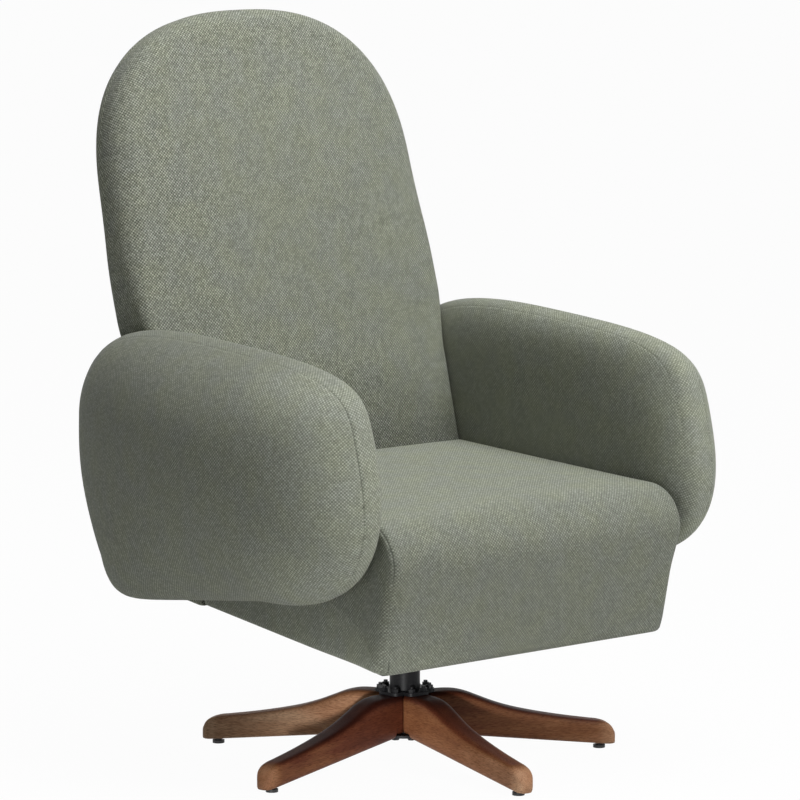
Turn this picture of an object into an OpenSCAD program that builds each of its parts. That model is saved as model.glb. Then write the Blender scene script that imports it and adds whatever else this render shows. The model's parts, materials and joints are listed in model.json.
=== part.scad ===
// Swivel rocking armchair: a five-legged wooden star base, a steel column and a
// sprung rocker under a padded seat with a tall arched back and two pebble arms.
// Millimetres. The origin is on the floor, on the swivel axis. The chair faces -Y,
// +Z is up, and left (-X) and right (+X) are as seen from the front.

/* [Seat] */
// Width of the seat between the arms
seat_w = 548; // [480:1:620]
// Height of the seat's top edge where it meets the back
seat_rear_h = 431; // [400:1:470]
// How far the seat's top falls from back to front, in degrees
seat_pitch = 2.44; // [0:0.1:5]
// Distance from the swivel axis to the front face, measured at the front face's foot
seat_front_reach = 268; // [240:1:300]
// Lean of the front face: its top stands further forward than its foot, in degrees
seat_front_lean = 11.2; // [5:0.1:20]
// Radius of the waterfall front edge
seat_nose_r = 62; // [30:1:70]
// Radius of the lower front edge
seat_foot_r = 14; // [5:1:25]
// Radius of the edges between the seat's top or front and its sides
seat_side_r = 11; // [6:1:30]
// Rise of the crown in the middle of the seat
seat_crown = 9; // [0:1:20]
// Bulge of the front face in its middle
seat_front_crown = 5; // [0:1:12]
// How much narrower the seat is at its foot, each side
seat_taper = 1; // [0:1:8]
// How much wider the seat is in front of the arms, each side
seat_flare = 6; // [0:1:8]

/* [Underside] */
// Depth of the body on the swivel axis, below the seat's rear top edge
body_depth = 207.6; // [200:0.1:214]
// Rise of the underside from front to back, in degrees
under_rise = 6.93; // [4:0.1:9]

/* [Back] */
// Recline of the back, in degrees
back_recline = 14.6; // [8:0.1:18]
// Distance from the swivel axis to the back's front face, at the seat's height
back_front_y = 185; // [175:1:205]
// How much wider than the seat the back is where its arch begins, each side
back_over = 9; // [5:1:16]
// How far each side of the back leans in towards the top, in degrees
back_side_lean = 2.8; // [0:0.1:4]
// Top of the back above the seat, along the recline
back_top_reach = 686; // [600:1:760]
// Height of the arched part, along the recline
back_arch_reach = 254; // [220:1:300]
// Squareness of the arch: 2 is an ellipse
back_arch_n = 2.52; // [2:0.02:3]
// Thickness of the back
back_t = 80; // [76:1:110]
// Radius of the back's front edge
back_front_r = 28; // [16:1:36]
// Radius of the back's rear edge
back_rear_r = 20; // [10:1:30]
// Crown of the back's front
back_crown = 12; // [0:1:20]
// Crown of the back's rear
back_rear_crown = 6; // [0:1:12]

/* [Arms] */
// Overall width over the two arms
chair_w = 869; // [800:1:920]
// How far the arm reaches forward of its middle
arm_front_reach = 279; // [255:1:305]
// How far the arm reaches behind its middle
arm_rear_reach = 360; // [320:1:380]
// How far the arm rises above its middle
arm_top_reach = 124; // [108:1:145]
// How far the arm hangs below its middle
arm_foot_reach = 233.5; // [210:0.5:255]
// Height of the arm's middle over the seat's rear top edge
arm_mid_rise = 86; // [70:0.5:100]
// Distance of the arm's fullest outline from its inner face
arm_rim_in = 39; // [30:1:55]

/* [Base] */
// Distance of a glide's middle from its leg's tip
glide_before_tip = 22; // [18:1:30]
// Reach of a leg's tip from the swivel axis
leg_reach = 322; // [280:1:350]
// Width of a leg at its root
leg_root_w = 50; // [44:1:54]
// Width of a leg near its tip
leg_tip_w = 31; // [26:1:38]
// Height of the legs' top at the hub
leg_root_h = 100; // [90:1:110]
// Height of a leg's underside at the hub, as its straight line would reach it
leg_root_under = 42; // [34:1:50]
// Height of a glide, which is a leg's clearance over the floor
glide_h = 7; // [5:1:12]
// Radius of a glide
glide_r = 9; // [7:1:12]
// Turn of the star base on the floor, in degrees
base_turn = -26.3; // [-36:0.1:36]

/* [Column] */
// Outer radius of the column tube
tube_r = 22.5; // [20:0.5:25]
// Wall of the column tube
tube_wall = 2.5; // [2:0.1:3]
// Radius of the spindle that turns in the column
spindle_r = 15; // [13:0.5:16]
// Running clearance of the spindle and of the rocker axle, on the radius
run_clear = 0.05; // [0.03:0.01:0.09]
// How far the hub flange reaches past a bolt's centre
flange_ear_r = 8; // [7:0.5:9]
// Thickness of the hub flange
flange_t = 5; // [4:0.5:6]
// Radius of the circle that the hub bolts stand on
hub_bolt_circle_r = 36; // [34:1:38]
// Radius of a hub bolt's shank
hub_bolt_r = 3; // [2.5:0.5:3.5]

/* [Rocker] */
// Depth of the rocking axle below the seat's rear top edge
rock_depth = 159; // [155:1:161]
// Radius of the rocking axle
axle_r = 8; // [6:0.5:9]
// How far the seat rocks back, in degrees
rock_back = 12; // [6:0.5:12]
// How far the seat rocks forward, in degrees
rock_forward = 6; // [3:0.5:6]
// Thickness of the mechanism's steel plates
steel_t = 4; // [3:0.5:5]
// Mean radius of a rocker spring's coil
coil_r = 12; // [11:0.5:13]
// Radius of a rocker spring's wire
coil_wire_r = 2; // [1.5:0.1:2.2]
// Turns in a rocker spring
coil_turns = 4; // [3:1:5]

/* [Frame] */
// Thickness of the wooden rails
rail_t = 22; // [18:1:24]
// Depth of the rails' top below the seat's rear top edge
rail_depth = 81; // [75:1:91]
// Gap between a rail and the padding around it
pad_gap = 0.4; // [0.3:0.1:0.8]
// Thickness of the back posts
post_t = 24; // [20:1:28]
// Thickness of the arm panels
arm_panel_t = 18; // [15:1:22]
// Half-width of the zigzag springs' wire
zig_wire_r = 1.8; // [1.5:0.1:2]
// Number of zigzag springs in the seat
zig_count = 5; // [3:1:5]
// Radius of the bolts that hold the arms and the back
frame_bolt_r = 4; // [3:0.5:5]

/* [Hidden] */
$fn = 48;

// Colours
fabric = [0.42, 0.45, 0.39];
walnut = [0.36, 0.20, 0.13];
black_metal = [0.07, 0.07, 0.08];
bright_steel = [0.62, 0.63, 0.65];
rubber_black = [0.05, 0.05, 0.05];
nylon_white = [0.86, 0.86, 0.83];
beech = [0.78, 0.63, 0.45];
felt_grey = [0.45, 0.45, 0.46];

// One overrun for every cut that goes right through
over = 30;
quarter = 90;
half_turn = 180;
full_turn = 360;

// Legs
glide_circle_r = leg_reach - glide_before_tip;
leg_count = 5;
leg_step = full_turn / leg_count;
leg_sides = 16;
leg_round_n = 4.5;
// Rows of [share of the leg's reach, share of the height between tip and root top,
// share of the half-width]
leg_station_shares = [
    [0.00, 1.00, 1.00], [0.12, 1.00, 1.00], [0.19, 1.01, 1.00], [0.24, 0.99, 0.99],
    [0.29, 0.925, 0.97], [0.35, 0.80, 0.94], [0.42, 0.65, 0.91], [0.50, 0.51, 0.88],
    [0.59, 0.39, 0.85], [0.69, 0.28, 0.82], [0.79, 0.185, 0.79], [0.88, 0.11, 0.77],
    [0.935, 0.06, 0.76], [0.965, 0.00, 0.73], [0.985, -0.09, 0.64], [1.00, -0.22, 0.44]];
leg_tip_h = 38;
leg_tip_width_share = 0.76;
leg_tip_under_share = 0.18;
glide_neck_r = 5;
glide_disc_share = 0.62;
glide_seat_depth = 1.6;
glide_pin_r = 2;
glide_pin_l = 14;

// Hub
plate_pocket_gap = 0.5;
clamp_t = 4;
clamp_r = 46;
clamp_eye_r = 12;
hub_bolt_spread = 17;
flange_neck_r = 33;
flange_turn = 15;
hub_hole_gap = 0.3;
hub_nut_flats_r = 5.6;
hub_nut_h = 5;
hub_head_h = 4;
hub_thread_out = 3;
hex_sides = 6;
flange_top_h = leg_root_h + flange_t;

// Heights that follow the seat's
under_h = seat_rear_h - body_depth;
rock_h = seat_rear_h - rock_depth;
rail_top_h = seat_rear_h - rail_depth;
arm_mid_h = seat_rear_h + arm_mid_rise;

// Column and bushes
tube_in_r = tube_r - tube_wall;
leg_eye_gap = 0.3;
under_tilt = tan(under_rise);
sheet_t = 1.6;
axle_over_bracket = 26;
bracket_h = rock_h - axle_over_bracket;
washer_t = 3;
bush_lip_t = 3;
tube_top_h = bracket_h - washer_t - bush_lip_t;
bush_l = 32;
lower_bush_h = 70;
clip_t = 2;
clip_play = 0.3;
clip_groove_depth = 1.5;
clip_reach = 4;
clip_mouth_share = 0.55;
spindle_tail = 12;
spindle_foot_h = lower_bush_h - spindle_tail;

// Pivot bracket and rocker plate
bracket_w = 100;
bracket_l = 168;
bracket_corner_r = 10;
bracket_top_h = bracket_h + steel_t;
ear_r = 14;
ear_w = 40;
ear_x = 40;
ear_side_gap = 3;
rock_ear_x = ear_x - ear_side_gap - steel_t;
plate_drop = 18;
plate_under_h = rock_h + plate_drop;
plate_top_h = plate_under_h + steel_t;
plate_w = 160;
plate_l = 200;
bush_wall = 2;
bush_lip = 1.5;
bush_lip_r = 13;
axle_end_out = 6;
stop_r = 8;
stop_gap = 0.4;
coil_x = 28;
coil_y = 66;
coil_sides = 6;
coil_steps = 8;
coil_lead = 2 * coil_wire_r;
screw_x = 60;
screw_y = 80;
screw_hole_gap = 0.3;
screw_head_r = 7.5;
screw_head_h = 5.5;
screw_bite = 18;

// Seat frame
side_pad_t = 14;
front_pad_t = 32;
frame_x = seat_w / 2 - side_pad_t;
rail_in_x = frame_x - rail_t;
front_rail_y = -(seat_front_reach - front_pad_t);
// How far the rear rail lies before the back, and how far the side rails reach into it
rear_rail_before = 67;
rail_into_back = 29;
rear_rail_y = back_front_y - rear_rail_before;
rail_end_y = back_front_y + rail_into_back;
cross_w = 50;
cross_t = 24;
block_leg = 60;
block_drop = 105;
block_foot_h = rail_top_h - block_drop;
bolt_tip_gap = 1;
block_t = 45;

// Zigzag springs and what lies on them
zig_bars = 12;
zig_first_y = front_rail_y + rail_t / 2;
zig_last_y = rear_rail_y + rail_t / 2;
zig_pitch = (zig_last_y - zig_first_y) / zig_bars;
zig_bar_l = 28;
zig_edge_gap = 80;
zig_spacing = 2 * (frame_x - zig_edge_gap) / (zig_count - 1);
clip_w = 18;
clip_l = 10;
clip_h = 5.4;
pad_t = 3.4;
pad_foot_h = rail_top_h + clip_h + pad_gap / 2;
pad_margin = 5;
cavity_top_h = pad_foot_h + pad_t + pad_gap;

// Where the seat begins to widen in front of the arms, and over what length
flare_from = 190;
flare_over = 100;

// Dust cover
cover_in = 7;
cover_side_in = 3;
cover_eye_side_gap = 9;
cover_eye_end_gap = 18;
cover_front_y = -front_rail_y + cover_in;
cover_edge_x = frame_x - cover_side_in;
cover_eye_x = tube_r + cover_eye_side_gap;
cover_eye_y = tube_r + cover_eye_end_gap;

// Back
back_half_w = seat_w / 2 + back_over;
back_side_gap = 0.5;
back_low_half_w = seat_w / 2 - back_side_gap;
back_swell_low = 134;
back_swell_high = 240;
back_crown_low = 45;
back_crown_rise = 90;
back_foot_reach = 240;
back_mid_reach = 230;
back_wall = 28;
back_side_wall = 34;
back_seam_gap = 0.5;
back_board_t = 8.5;
post_front = back_wall + pad_gap * 6;
post_rear = back_t - back_board_t - pad_gap;
post_top = 400;
post_foot = 190;
arch_depth = 45;
arch_t = 26;
lumbar_low = 95;
lumbar_h = 50;
foot_rail_low = -85;
foot_rail_h = 55;
web_t = 2;
web_h = 50;
web_count = 5;
web_low = -45;
web_gap = 40;
back_bolt_lows = [-142, -100];
back_bolt_in = 12;
back_bolt_head_r = 7.5;
back_bolt_head_h = 5.5;

// Arms
arm_in_x = seat_w / 2 + pad_gap;
arm_out_x = chair_w / 2;
arm_rim_x = arm_in_x + arm_rim_in;
arm_mid_y = -10.9;
// Squareness of the arm's outline: front top, rear top, rear foot, front foot
arm_top_front_n = 4.24;
arm_top_rear_n = 2.556;
arm_foot_rear_n = 12.6;
arm_foot_front_n = 2.489;
// How much squareness the two front corners lose or gain from the rim to the outer face
arm_top_front_gain_n = -0.243;
arm_foot_front_gain_n = 0.691;
// Fullness of the rear edge below the arm's middle, and the height over which it fades
arm_belly_t = 23;
arm_belly_h = 177;
arm_lean_share = 0.262;
arm_foot_slope_front_share = -0.01;
arm_foot_slope_rear_share = -0.129;
arm_top_slope_share = 0.071;
arm_drop_share = -0.175;
arm_toe_share = -0.102;
// How fast the outline grows rounder towards the middle of each face
arm_square_n = 2.5;
arm_in_outline_n = 4.93;
arm_in_profile_n = 2.716;
arm_out_outline_n = 1.83;
arm_out_profile_n = 1.953;
arm_panel_share = 0.86;
arm_panel_w = -0.5;
arm_panel_in = 14;
arm_panel_x = arm_in_x + arm_panel_in;
arm_bolt_drop = 18;
arm_bolt_h = rail_top_h - arm_bolt_drop;
arm_bolt_behind = 9.5;
arm_bolt_ys = [-130, 10, rear_rail_y + rail_t + arm_bolt_behind];
arm_bolt_hole_gap = 1;
arm_bolt_fit_gap = 0.3;
tee_r = 10;
tee_t = 1.5;
tee_barrel_r = 5;
tee_barrel_l = 12;

// How finely the padded forms are drawn
pad_around = 44;
pad_rings = 8;
seat_arc_steps = 6;
seat_edge_steps = 5;
seat_side_steps = 4;
seat_across_steps = 8;
mid_step = 0.5;

// Signed power, for superellipses
function spow(a, p) = sign(a) * pow(abs(a), p);
function smooth_step(a) = let (t = max(0, min(1, a))) t * t * (3 - 2 * t);
function unit(v) = v / norm(v);
function under_z(y) = under_h + y * under_tilt;
function body_foot_z(y) = under_z(y) + sheet_t;

// A closed skin over equal rings of points, with a pole point at each end
module skin(rings, pole_a, pole_b) {
    n = len(rings[0]);
    m = len(rings);
    pts = concat([for (r = rings) for (p = r) p], [pole_a, pole_b]);
    sides = [for (i = [0 : m - 2]) for (j = [0 : n - 1])
        let (a = i * n + j, b = i * n + (j + 1) % n, c = a + n, d = b + n)
        for (f = [[a, d, b], [a, c, d]]) f];
    cap_a = [for (j = [0 : n - 1]) [m * n, j, (j + 1) % n]];
    cap_b = [for (j = [0 : n - 1]) [m * n + 1, (m - 1) * n + (j + 1) % n, (m - 1) * n + j]];
    polyhedron(points = pts, faces = concat(cap_a, sides, cap_b), convexity = 6);
}

// A plate with rounded corners, standing on z
module round_plate(w, l, t, r, z) {
    translate([0, 0, z]) linear_extrude(t) union() {
        square([w - 2 * r, l], center = true);
        square([w, l - 2 * r], center = true);
        for (i = [-1, 1]) for (j = [-1, 1])
            translate([i * (w / 2 - r), j * (l / 2 - r)]) circle(r);
    }
}

module ring_tube(r_out, r_in, z0, z1) {
    difference() {
        translate([0, 0, z0]) cylinder(r = r_out, h = z1 - z0);
        translate([0, 0, z0 - over]) cylinder(r = r_in, h = z1 - z0 + 2 * over);
    }
}

// A cylinder along X between two places
module bar_x(x0, x1, r) {
    translate([x0, 0, 0]) rotate([0, quarter, 0]) cylinder(r = r, h = x1 - x0);
}

// Everything below the sloping underside of the rocking body
module below_underside(extra) {
    rotate([quarter, 0, quarter]) translate([0, 0, -chair_w])
        linear_extrude(2 * chair_w) polygon([
            [-chair_w, under_z(-chair_w) + extra], [chair_w, under_z(chair_w) + extra],
            [chair_w, -chair_w], [-chair_w, -chair_w]]);
}

// Base

function leg_under(r) = glide_h + (leg_root_under - glide_h) * (1 - r / glide_circle_r);
function leg_section(s) =
    let (r = s[0] * leg_reach,
         low = leg_under(r) + max(0, -s[1]) * leg_tip_h * leg_tip_under_share,
         high = leg_tip_h + s[1] * (leg_root_h - leg_tip_h),
         hw = s[2] * leg_root_w / 2 * (1 - s[0])
              + s[2] / leg_tip_width_share * leg_tip_w / 2 * s[0],
         mid = (low + high) / 2, hh = (high - low) / 2)
    [for (j = [0 : leg_sides - 1])
        let (a = full_turn * (j + mid_step) / leg_sides)
        [r, hw * spow(cos(a), 2 / leg_round_n), mid + hh * spow(sin(a), 2 / leg_round_n)]];

module at_leg(i) { rotate([0, 0, base_turn + leg_step * i]) children(); }

module hub_bolt_places() {
    for (i = [0 : leg_count - 1]) for (s = [-1, 1])
        rotate([0, 0, base_turn + leg_step * i + s * hub_bolt_spread])
            translate([hub_bolt_circle_r, 0, 0]) children();
}

module leg(i) {
    rings = [for (s = leg_station_shares) leg_section(s)];
    last = leg_station_shares[len(leg_station_shares) - 1];
    tip_mid = (rings[len(rings) - 1][2][2] + rings[len(rings) - 1][leg_sides - 2][2]) / 2;
    color(walnut) difference() {
        at_leg(i) intersection() {
            skin(rings, [0, 0, (leg_root_under + leg_root_h) / 2],
                 [leg_reach + glide_neck_r / 2, 0, tip_mid]);
            linear_extrude(2 * leg_root_h) polygon([[0, 0],
                [leg_reach, -leg_reach * tan(leg_step / 2)],
                [leg_reach * 2, 0], [leg_reach, leg_reach * tan(leg_step / 2)]]);
        }
        translate([0, 0, -over]) cylinder(r = tube_r + leg_eye_gap, h = leg_root_h + 2 * over);
        translate([0, 0, -over]) cylinder(r = clamp_r + plate_pocket_gap,
                                          h = leg_root_under + over);
        hub_bolt_places() translate([0, 0, -over])
            cylinder(r = hub_bolt_r + hub_hole_gap, h = leg_root_h + 2 * over);
        at_leg(i) translate([glide_circle_r, 0, -over]) {
            cylinder(r = glide_neck_r + hub_hole_gap, h = glide_h + glide_seat_depth + over);
            cylinder(r = glide_pin_r, h = glide_h + glide_seat_depth + glide_pin_l + over);
        }
    }
}

module leg_glides() {
    neck_top = glide_h + glide_seat_depth;
    color(rubber_black) for (i = [0 : leg_count - 1]) at_leg(i)
        translate([glide_circle_r, 0, 0]) union() {
            cylinder(r = glide_r, h = glide_h * glide_disc_share);
            cylinder(r = glide_neck_r, h = neck_top);
            cylinder(r = glide_pin_r, h = neck_top + glide_pin_l);
        }
}

module clamp_plate() {
    color(black_metal) difference() {
        translate([0, 0, leg_root_under - clamp_t]) cylinder(r = clamp_r, h = clamp_t);
        cylinder(r = clamp_eye_r, h = leg_root_h);
        hub_bolt_places() cylinder(r = hub_bolt_r + hub_hole_gap, h = leg_root_h);
    }
}

// Rounded corner of a flange tab, on one side of the leg, from angle a0 to a1
function flange_corner(side, a0, a1) =
    [for (a = [a0 : flange_turn : a1])
        [hub_bolt_circle_r * cos(hub_bolt_spread) + flange_ear_r * cos(a),
         side * hub_bolt_circle_r * sin(hub_bolt_spread) + flange_ear_r * sin(a)]];

// One fifth of the flange's outline: a tab over a leg, then the neck over the mitre
flange_fifth = concat(flange_corner(-1, -quarter, 0), flange_corner(1, 0, quarter),
    [[flange_neck_r * cos(leg_step / 2), flange_neck_r * sin(leg_step / 2)]]);

module hub_flange() {
    color(black_metal) difference() {
        translate([0, 0, leg_root_h]) linear_extrude(flange_t)
            polygon([for (i = [0 : leg_count - 1]) for (p = flange_fifth)
                let (a = base_turn + leg_step * i)
                [p[0] * cos(a) - p[1] * sin(a), p[0] * sin(a) + p[1] * cos(a)]]);
        cylinder(r = tube_r, h = 2 * leg_root_h);
        hub_bolt_places() cylinder(r = hub_bolt_r + hub_hole_gap, h = 2 * leg_root_h);
    }
}

module hub_bolts() {
    head_z = leg_root_under - clamp_t - hub_head_h;
    color(black_metal) hub_bolt_places() union() {
        translate([0, 0, head_z]) cylinder(r = hub_nut_flats_r, h = hub_head_h, $fn = hex_sides);
        translate([0, 0, head_z]) cylinder(r = hub_bolt_r,
            h = flange_top_h + hub_nut_h + hub_thread_out - head_z);
    }
}

module hub_nuts() {
    color(black_metal) hub_bolt_places() difference() {
        translate([0, 0, flange_top_h]) cylinder(r = hub_nut_flats_r, h = hub_nut_h,
                                                 $fn = hex_sides);
        cylinder(r = hub_bolt_r, h = 2 * leg_root_h);
    }
}

module column_tube() {
    color(black_metal) ring_tube(tube_r, tube_in_r, leg_root_under, tube_top_h);
}

module lower_bush() {
    color(nylon_white)
        ring_tube(tube_in_r, spindle_r + run_clear, lower_bush_h, lower_bush_h + bush_l);
}

module upper_bush() {
    color(nylon_white) union() {
        ring_tube(tube_in_r, spindle_r + run_clear, tube_top_h - bush_l, tube_top_h);
        ring_tube(tube_r, spindle_r + run_clear, tube_top_h, tube_top_h + bush_lip_t);
    }
}

module thrust_washer() {
    color(bright_steel) ring_tube(tube_r, spindle_r + run_clear,
                                  bracket_h - washer_t, bracket_h);
}

// Swivel

clip_z = lower_bush_h - clip_play - clip_t;

module spindle() {
    color(bright_steel) difference() {
        translate([0, 0, spindle_foot_h]) cylinder(r = spindle_r, h = bracket_top_h - spindle_foot_h);
        ring_tube(spindle_r + over, spindle_r - clip_groove_depth, clip_z, clip_z + clip_t);
    }
}

module spindle_clip() {
    mouth = (spindle_r - clip_groove_depth) * clip_mouth_share;
    color(bright_steel) difference() {
        ring_tube(spindle_r + clip_reach - clip_groove_depth / 2,
                  spindle_r - clip_groove_depth, clip_z, clip_z + clip_t);
        translate([0, -mouth / 2, clip_z - over]) cube([2 * spindle_r, mouth, 2 * over]);
    }
}

// An upright or hanging ear of steel plate, its inner face at x, round about the axle
module ear(x, z_far, hole_r) {
    up = z_far > rock_h;
    difference() {
        union() {
            translate([0, 0, rock_h]) bar_x(x, x + steel_t, ear_r);
            translate([x, -ear_w / 2, up ? rock_h + ear_r / 2 : z_far])
                cube([steel_t, ear_w, up ? z_far - rock_h - ear_r / 2
                                         : rock_h - ear_r / 2 - z_far]);
            translate([x, -ear_r, up ? rock_h : rock_h - ear_r / 2 - ear_r / 2])
                cube([steel_t, 2 * ear_r, ear_r]);
        }
        translate([0, 0, rock_h]) bar_x(x - over / 10, x + steel_t + over / 10, hole_r);
    }
}

module both_sides() {
    children();
    mirror([1, 0, 0]) children();
}

module pivot_bracket() {
    color(black_metal) difference() {
        union() {
            round_plate(bracket_w, bracket_l, steel_t, bracket_corner_r, bracket_h);
            both_sides() ear(ear_x, bracket_h + steel_t / 2, axle_r);
        }
        translate([0, 0, bracket_h - over]) cylinder(r = spindle_r, h = 2 * over);
    }
}

module rock_axle() {
    reach = ear_x + steel_t + axle_end_out;
    color(bright_steel) difference() {
        translate([0, 0, rock_h]) bar_x(-reach, reach, axle_r);
        translate([0, 0, rock_h]) both_sides() difference() {
            bar_x(ear_x + steel_t, ear_x + steel_t + clip_t, axle_r + over);
            bar_x(ear_x, ear_x + steel_t + 2 * clip_t, axle_r - clip_groove_depth);
        }
    }
}

module axle_clips() {
    mouth = (axle_r - clip_groove_depth) * clip_mouth_share;
    color(bright_steel) translate([0, 0, rock_h]) both_sides() difference() {
        bar_x(ear_x + steel_t, ear_x + steel_t + clip_t, axle_r + clip_reach / 2);
        bar_x(ear_x, ear_x + steel_t + 2 * clip_t, axle_r - clip_groove_depth);
        translate([ear_x, -mouth / 2, -axle_r - over]) cube([over, mouth, axle_r + over]);
    }
}

// Height that a stop may have to meet the tilted plate at the given limit
function stop_top(limit) =
    let (far = coil_y + stop_r, s = (far - plate_drop * sin(limit)) / cos(limit))
    rock_h + plate_drop * cos(limit) - s * sin(limit) - stop_gap;

module bump_stops(side, limit) {
    color(rubber_black) for (x = [-coil_x, coil_x])
        translate([x, side * coil_y, bracket_top_h])
            cylinder(r = stop_r, h = stop_top(limit) - bracket_top_h);
}

// Coil springs: one unbroken wire each, straight at both ends
coil_span = plate_under_h - bracket_top_h;
coil_rings = coil_turns * coil_steps;
coil_rise = coil_span - 2 * coil_lead;
function coil_place(a) =
    [coil_r * cos(a), coil_r * sin(a), coil_lead + coil_rise * a / (full_turn * coil_turns)];
function coil_along(a) = let (arc = coil_r * PI / half_turn)
    unit([-sin(a) * arc, cos(a) * arc, coil_rise / (full_turn * coil_turns)]);
function coil_ring(c, out, up) =
    [for (k = [0 : coil_sides - 1]) let (a = full_turn * k / coil_sides)
        c + coil_wire_r * (cos(a) * out + sin(a) * up)];
function coil_wire() = concat(
    [coil_ring([coil_r, 0, 0], [1, 0, 0], [0, -1, 0])],
    [for (i = [0 : coil_rings]) let (a = full_turn * i / coil_steps,
        t = i == 0 || i == coil_rings
            ? unit(coil_along(a) + [0, 0, 1]) : coil_along(a),
        out = [cos(a), sin(a), 0])
        coil_ring(coil_place(a), out, cross(out, t))],
    [coil_ring([coil_r, 0, coil_span], [1, 0, 0], [0, -1, 0])]);
coil_gap = min([for (i = [1 : coil_rings - coil_steps - 1])
    min([for (j = [i + coil_steps - 2 : min(i + coil_steps + 2, coil_rings)])
        norm(coil_place(full_turn * i / coil_steps) - coil_place(full_turn * j / coil_steps))])])
    - 2 * coil_wire_r;
echo("least gap between the curls of a rocker spring", coil_gap);

module rock_springs(side) {
    w = coil_wire();
    color(bright_steel) for (x = [-coil_x, coil_x]) translate([x, side * coil_y, bracket_top_h])
        skin(w, [coil_r, 0, 0], [coil_r, 0, coil_span]);
}

// Rocking body: mechanism plate and seat frame

module rock_plate() {
    color(black_metal) difference() {
        union() {
            round_plate(plate_w, plate_l, steel_t, bracket_corner_r, plate_under_h);
            both_sides() ear(rock_ear_x, plate_under_h + steel_t / 2, axle_r + bush_wall);
        }
        for (x = [-screw_x, screw_x]) for (y = [-screw_y, screw_y])
            translate([x, y, plate_under_h - over])
                cylinder(r = frame_bolt_r + screw_hole_gap, h = 2 * over);
    }
}

module rock_bushes() {
    color(nylon_white) translate([0, 0, rock_h]) both_sides() difference() {
        union() {
            bar_x(rock_ear_x, rock_ear_x + steel_t, axle_r + bush_wall);
            bar_x(rock_ear_x + steel_t, rock_ear_x + steel_t + bush_lip, bush_lip_r);
        }
        bar_x(rock_ear_x - over, rock_ear_x + over, axle_r + run_clear);
    }
}

module plate_screws() {
    color(bright_steel) for (x = [-screw_x, screw_x]) for (y = [-screw_y, screw_y])
        translate([x, y, 0]) union() {
            translate([0, 0, plate_under_h - screw_head_h])
                cylinder(r = screw_head_r, h = screw_head_h, $fn = hex_sides);
            translate([0, 0, plate_under_h - screw_head_h / 2])
                cylinder(r = frame_bolt_r, h = steel_t + screw_bite + screw_head_h / 2);
        }
}

// A board between two places in Y, from the sloping underside to the rails' top
module rail_board(y0, y1, x0, x1) {
    translate([x0, 0, 0]) rotate([quarter, 0, quarter]) linear_extrude(x1 - x0)
        polygon([[y0, body_foot_z(y0)], [y1, body_foot_z(y1)],
                 [y1, rail_top_h], [y0, rail_top_h]]);
}

module front_rail() {
    color(beech) rail_board(front_rail_y, front_rail_y + rail_t, -frame_x, frame_x);
}

module rear_rail() {
    color(beech) rail_board(rear_rail_y, rear_rail_y + rail_t, -rail_in_x, rail_in_x);
}

module arm_bolt_places() {
    for (y = arm_bolt_ys) translate([0, y, arm_bolt_h]) children();
}

// Places of the back's bolts, in the back's own frame
module back_bolt_places() {
    on_back() for (h = back_bolt_lows) translate([0, post_front + back_bolt_in, h]) children();
}

module side_rail() {
    difference() {
        rail_board(front_rail_y + rail_t, rail_end_y, rail_in_x, frame_x);
        arm_bolt_places() bar_x(0, chair_w / 2, frame_bolt_r + arm_bolt_fit_gap);
        back_bolt_places() bar_x(0, frame_x - bolt_tip_gap, frame_bolt_r);
    }
}

module cross_rail(y) {
    color(beech) difference() {
        translate([-rail_in_x, y - cross_w / 2, plate_top_h])
            cube([2 * rail_in_x, cross_w, cross_t]);
        for (x = [-screw_x, screw_x]) translate([x, y, plate_top_h - over])
            cylinder(r = frame_bolt_r, h = over + screw_bite);
    }
}

module corner_blocks() {
    color(beech) both_sides() translate([0, 0, block_foot_h]) linear_extrude(block_t) {
        polygon([[rail_in_x, front_rail_y + rail_t], [rail_in_x, front_rail_y + rail_t + block_leg],
                 [rail_in_x - block_leg, front_rail_y + rail_t]]);
        polygon([[rail_in_x, rear_rail_y], [rail_in_x, rear_rail_y - block_leg],
                 [rail_in_x - block_leg, rear_rail_y]]);
    }
}

function zig_xs() = [for (i = [0 : zig_count - 1]) (i - (zig_count - 1) / 2) * zig_spacing];

// One zigzag spring of square wire: bars across, joined by half rings left and right in turn
module zigzag() {
    translate([0, 0, rail_top_h]) linear_extrude(2 * zig_wire_r) union() {
        for (i = [0 : zig_bars]) translate([-zig_bar_l / 2, zig_first_y + i * zig_pitch - zig_wire_r])
            square([zig_bar_l, 2 * zig_wire_r]);
        for (i = [0 : zig_bars - 1]) let (s = i % 2 == 0 ? 1 : -1)
            translate([s * zig_bar_l / 2, zig_first_y + (i + mid_step) * zig_pitch]) difference() {
                circle(zig_pitch / 2 + zig_wire_r);
                circle(zig_pitch / 2 - zig_wire_r);
                translate([-s * zig_pitch, 0]) square(2 * zig_pitch, center = true);
            }
    }
}

module seat_springs() {
    color(bright_steel) for (x = zig_xs()) translate([x, 0, 0]) zigzag();
}

module spring_clips() {
    color(nylon_white) for (x = zig_xs()) for (y = [zig_first_y, zig_last_y])
        translate([x, y, 0]) difference() {
            translate([-clip_w / 2, -clip_l / 2, rail_top_h]) cube([clip_w, clip_l, clip_h]);
            translate([-clip_w, -zig_wire_r, rail_top_h - over])
                cube([2 * clip_w, 2 * zig_wire_r, over + 2 * zig_wire_r]);
        }
}

module seat_pad() {
    color(felt_grey) translate([-frame_x + pad_margin, front_rail_y, pad_foot_h])
        cube([2 * (frame_x - pad_margin), rear_rail_y + rail_t - front_rail_y, pad_t]);
}

// Seat cushion

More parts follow.
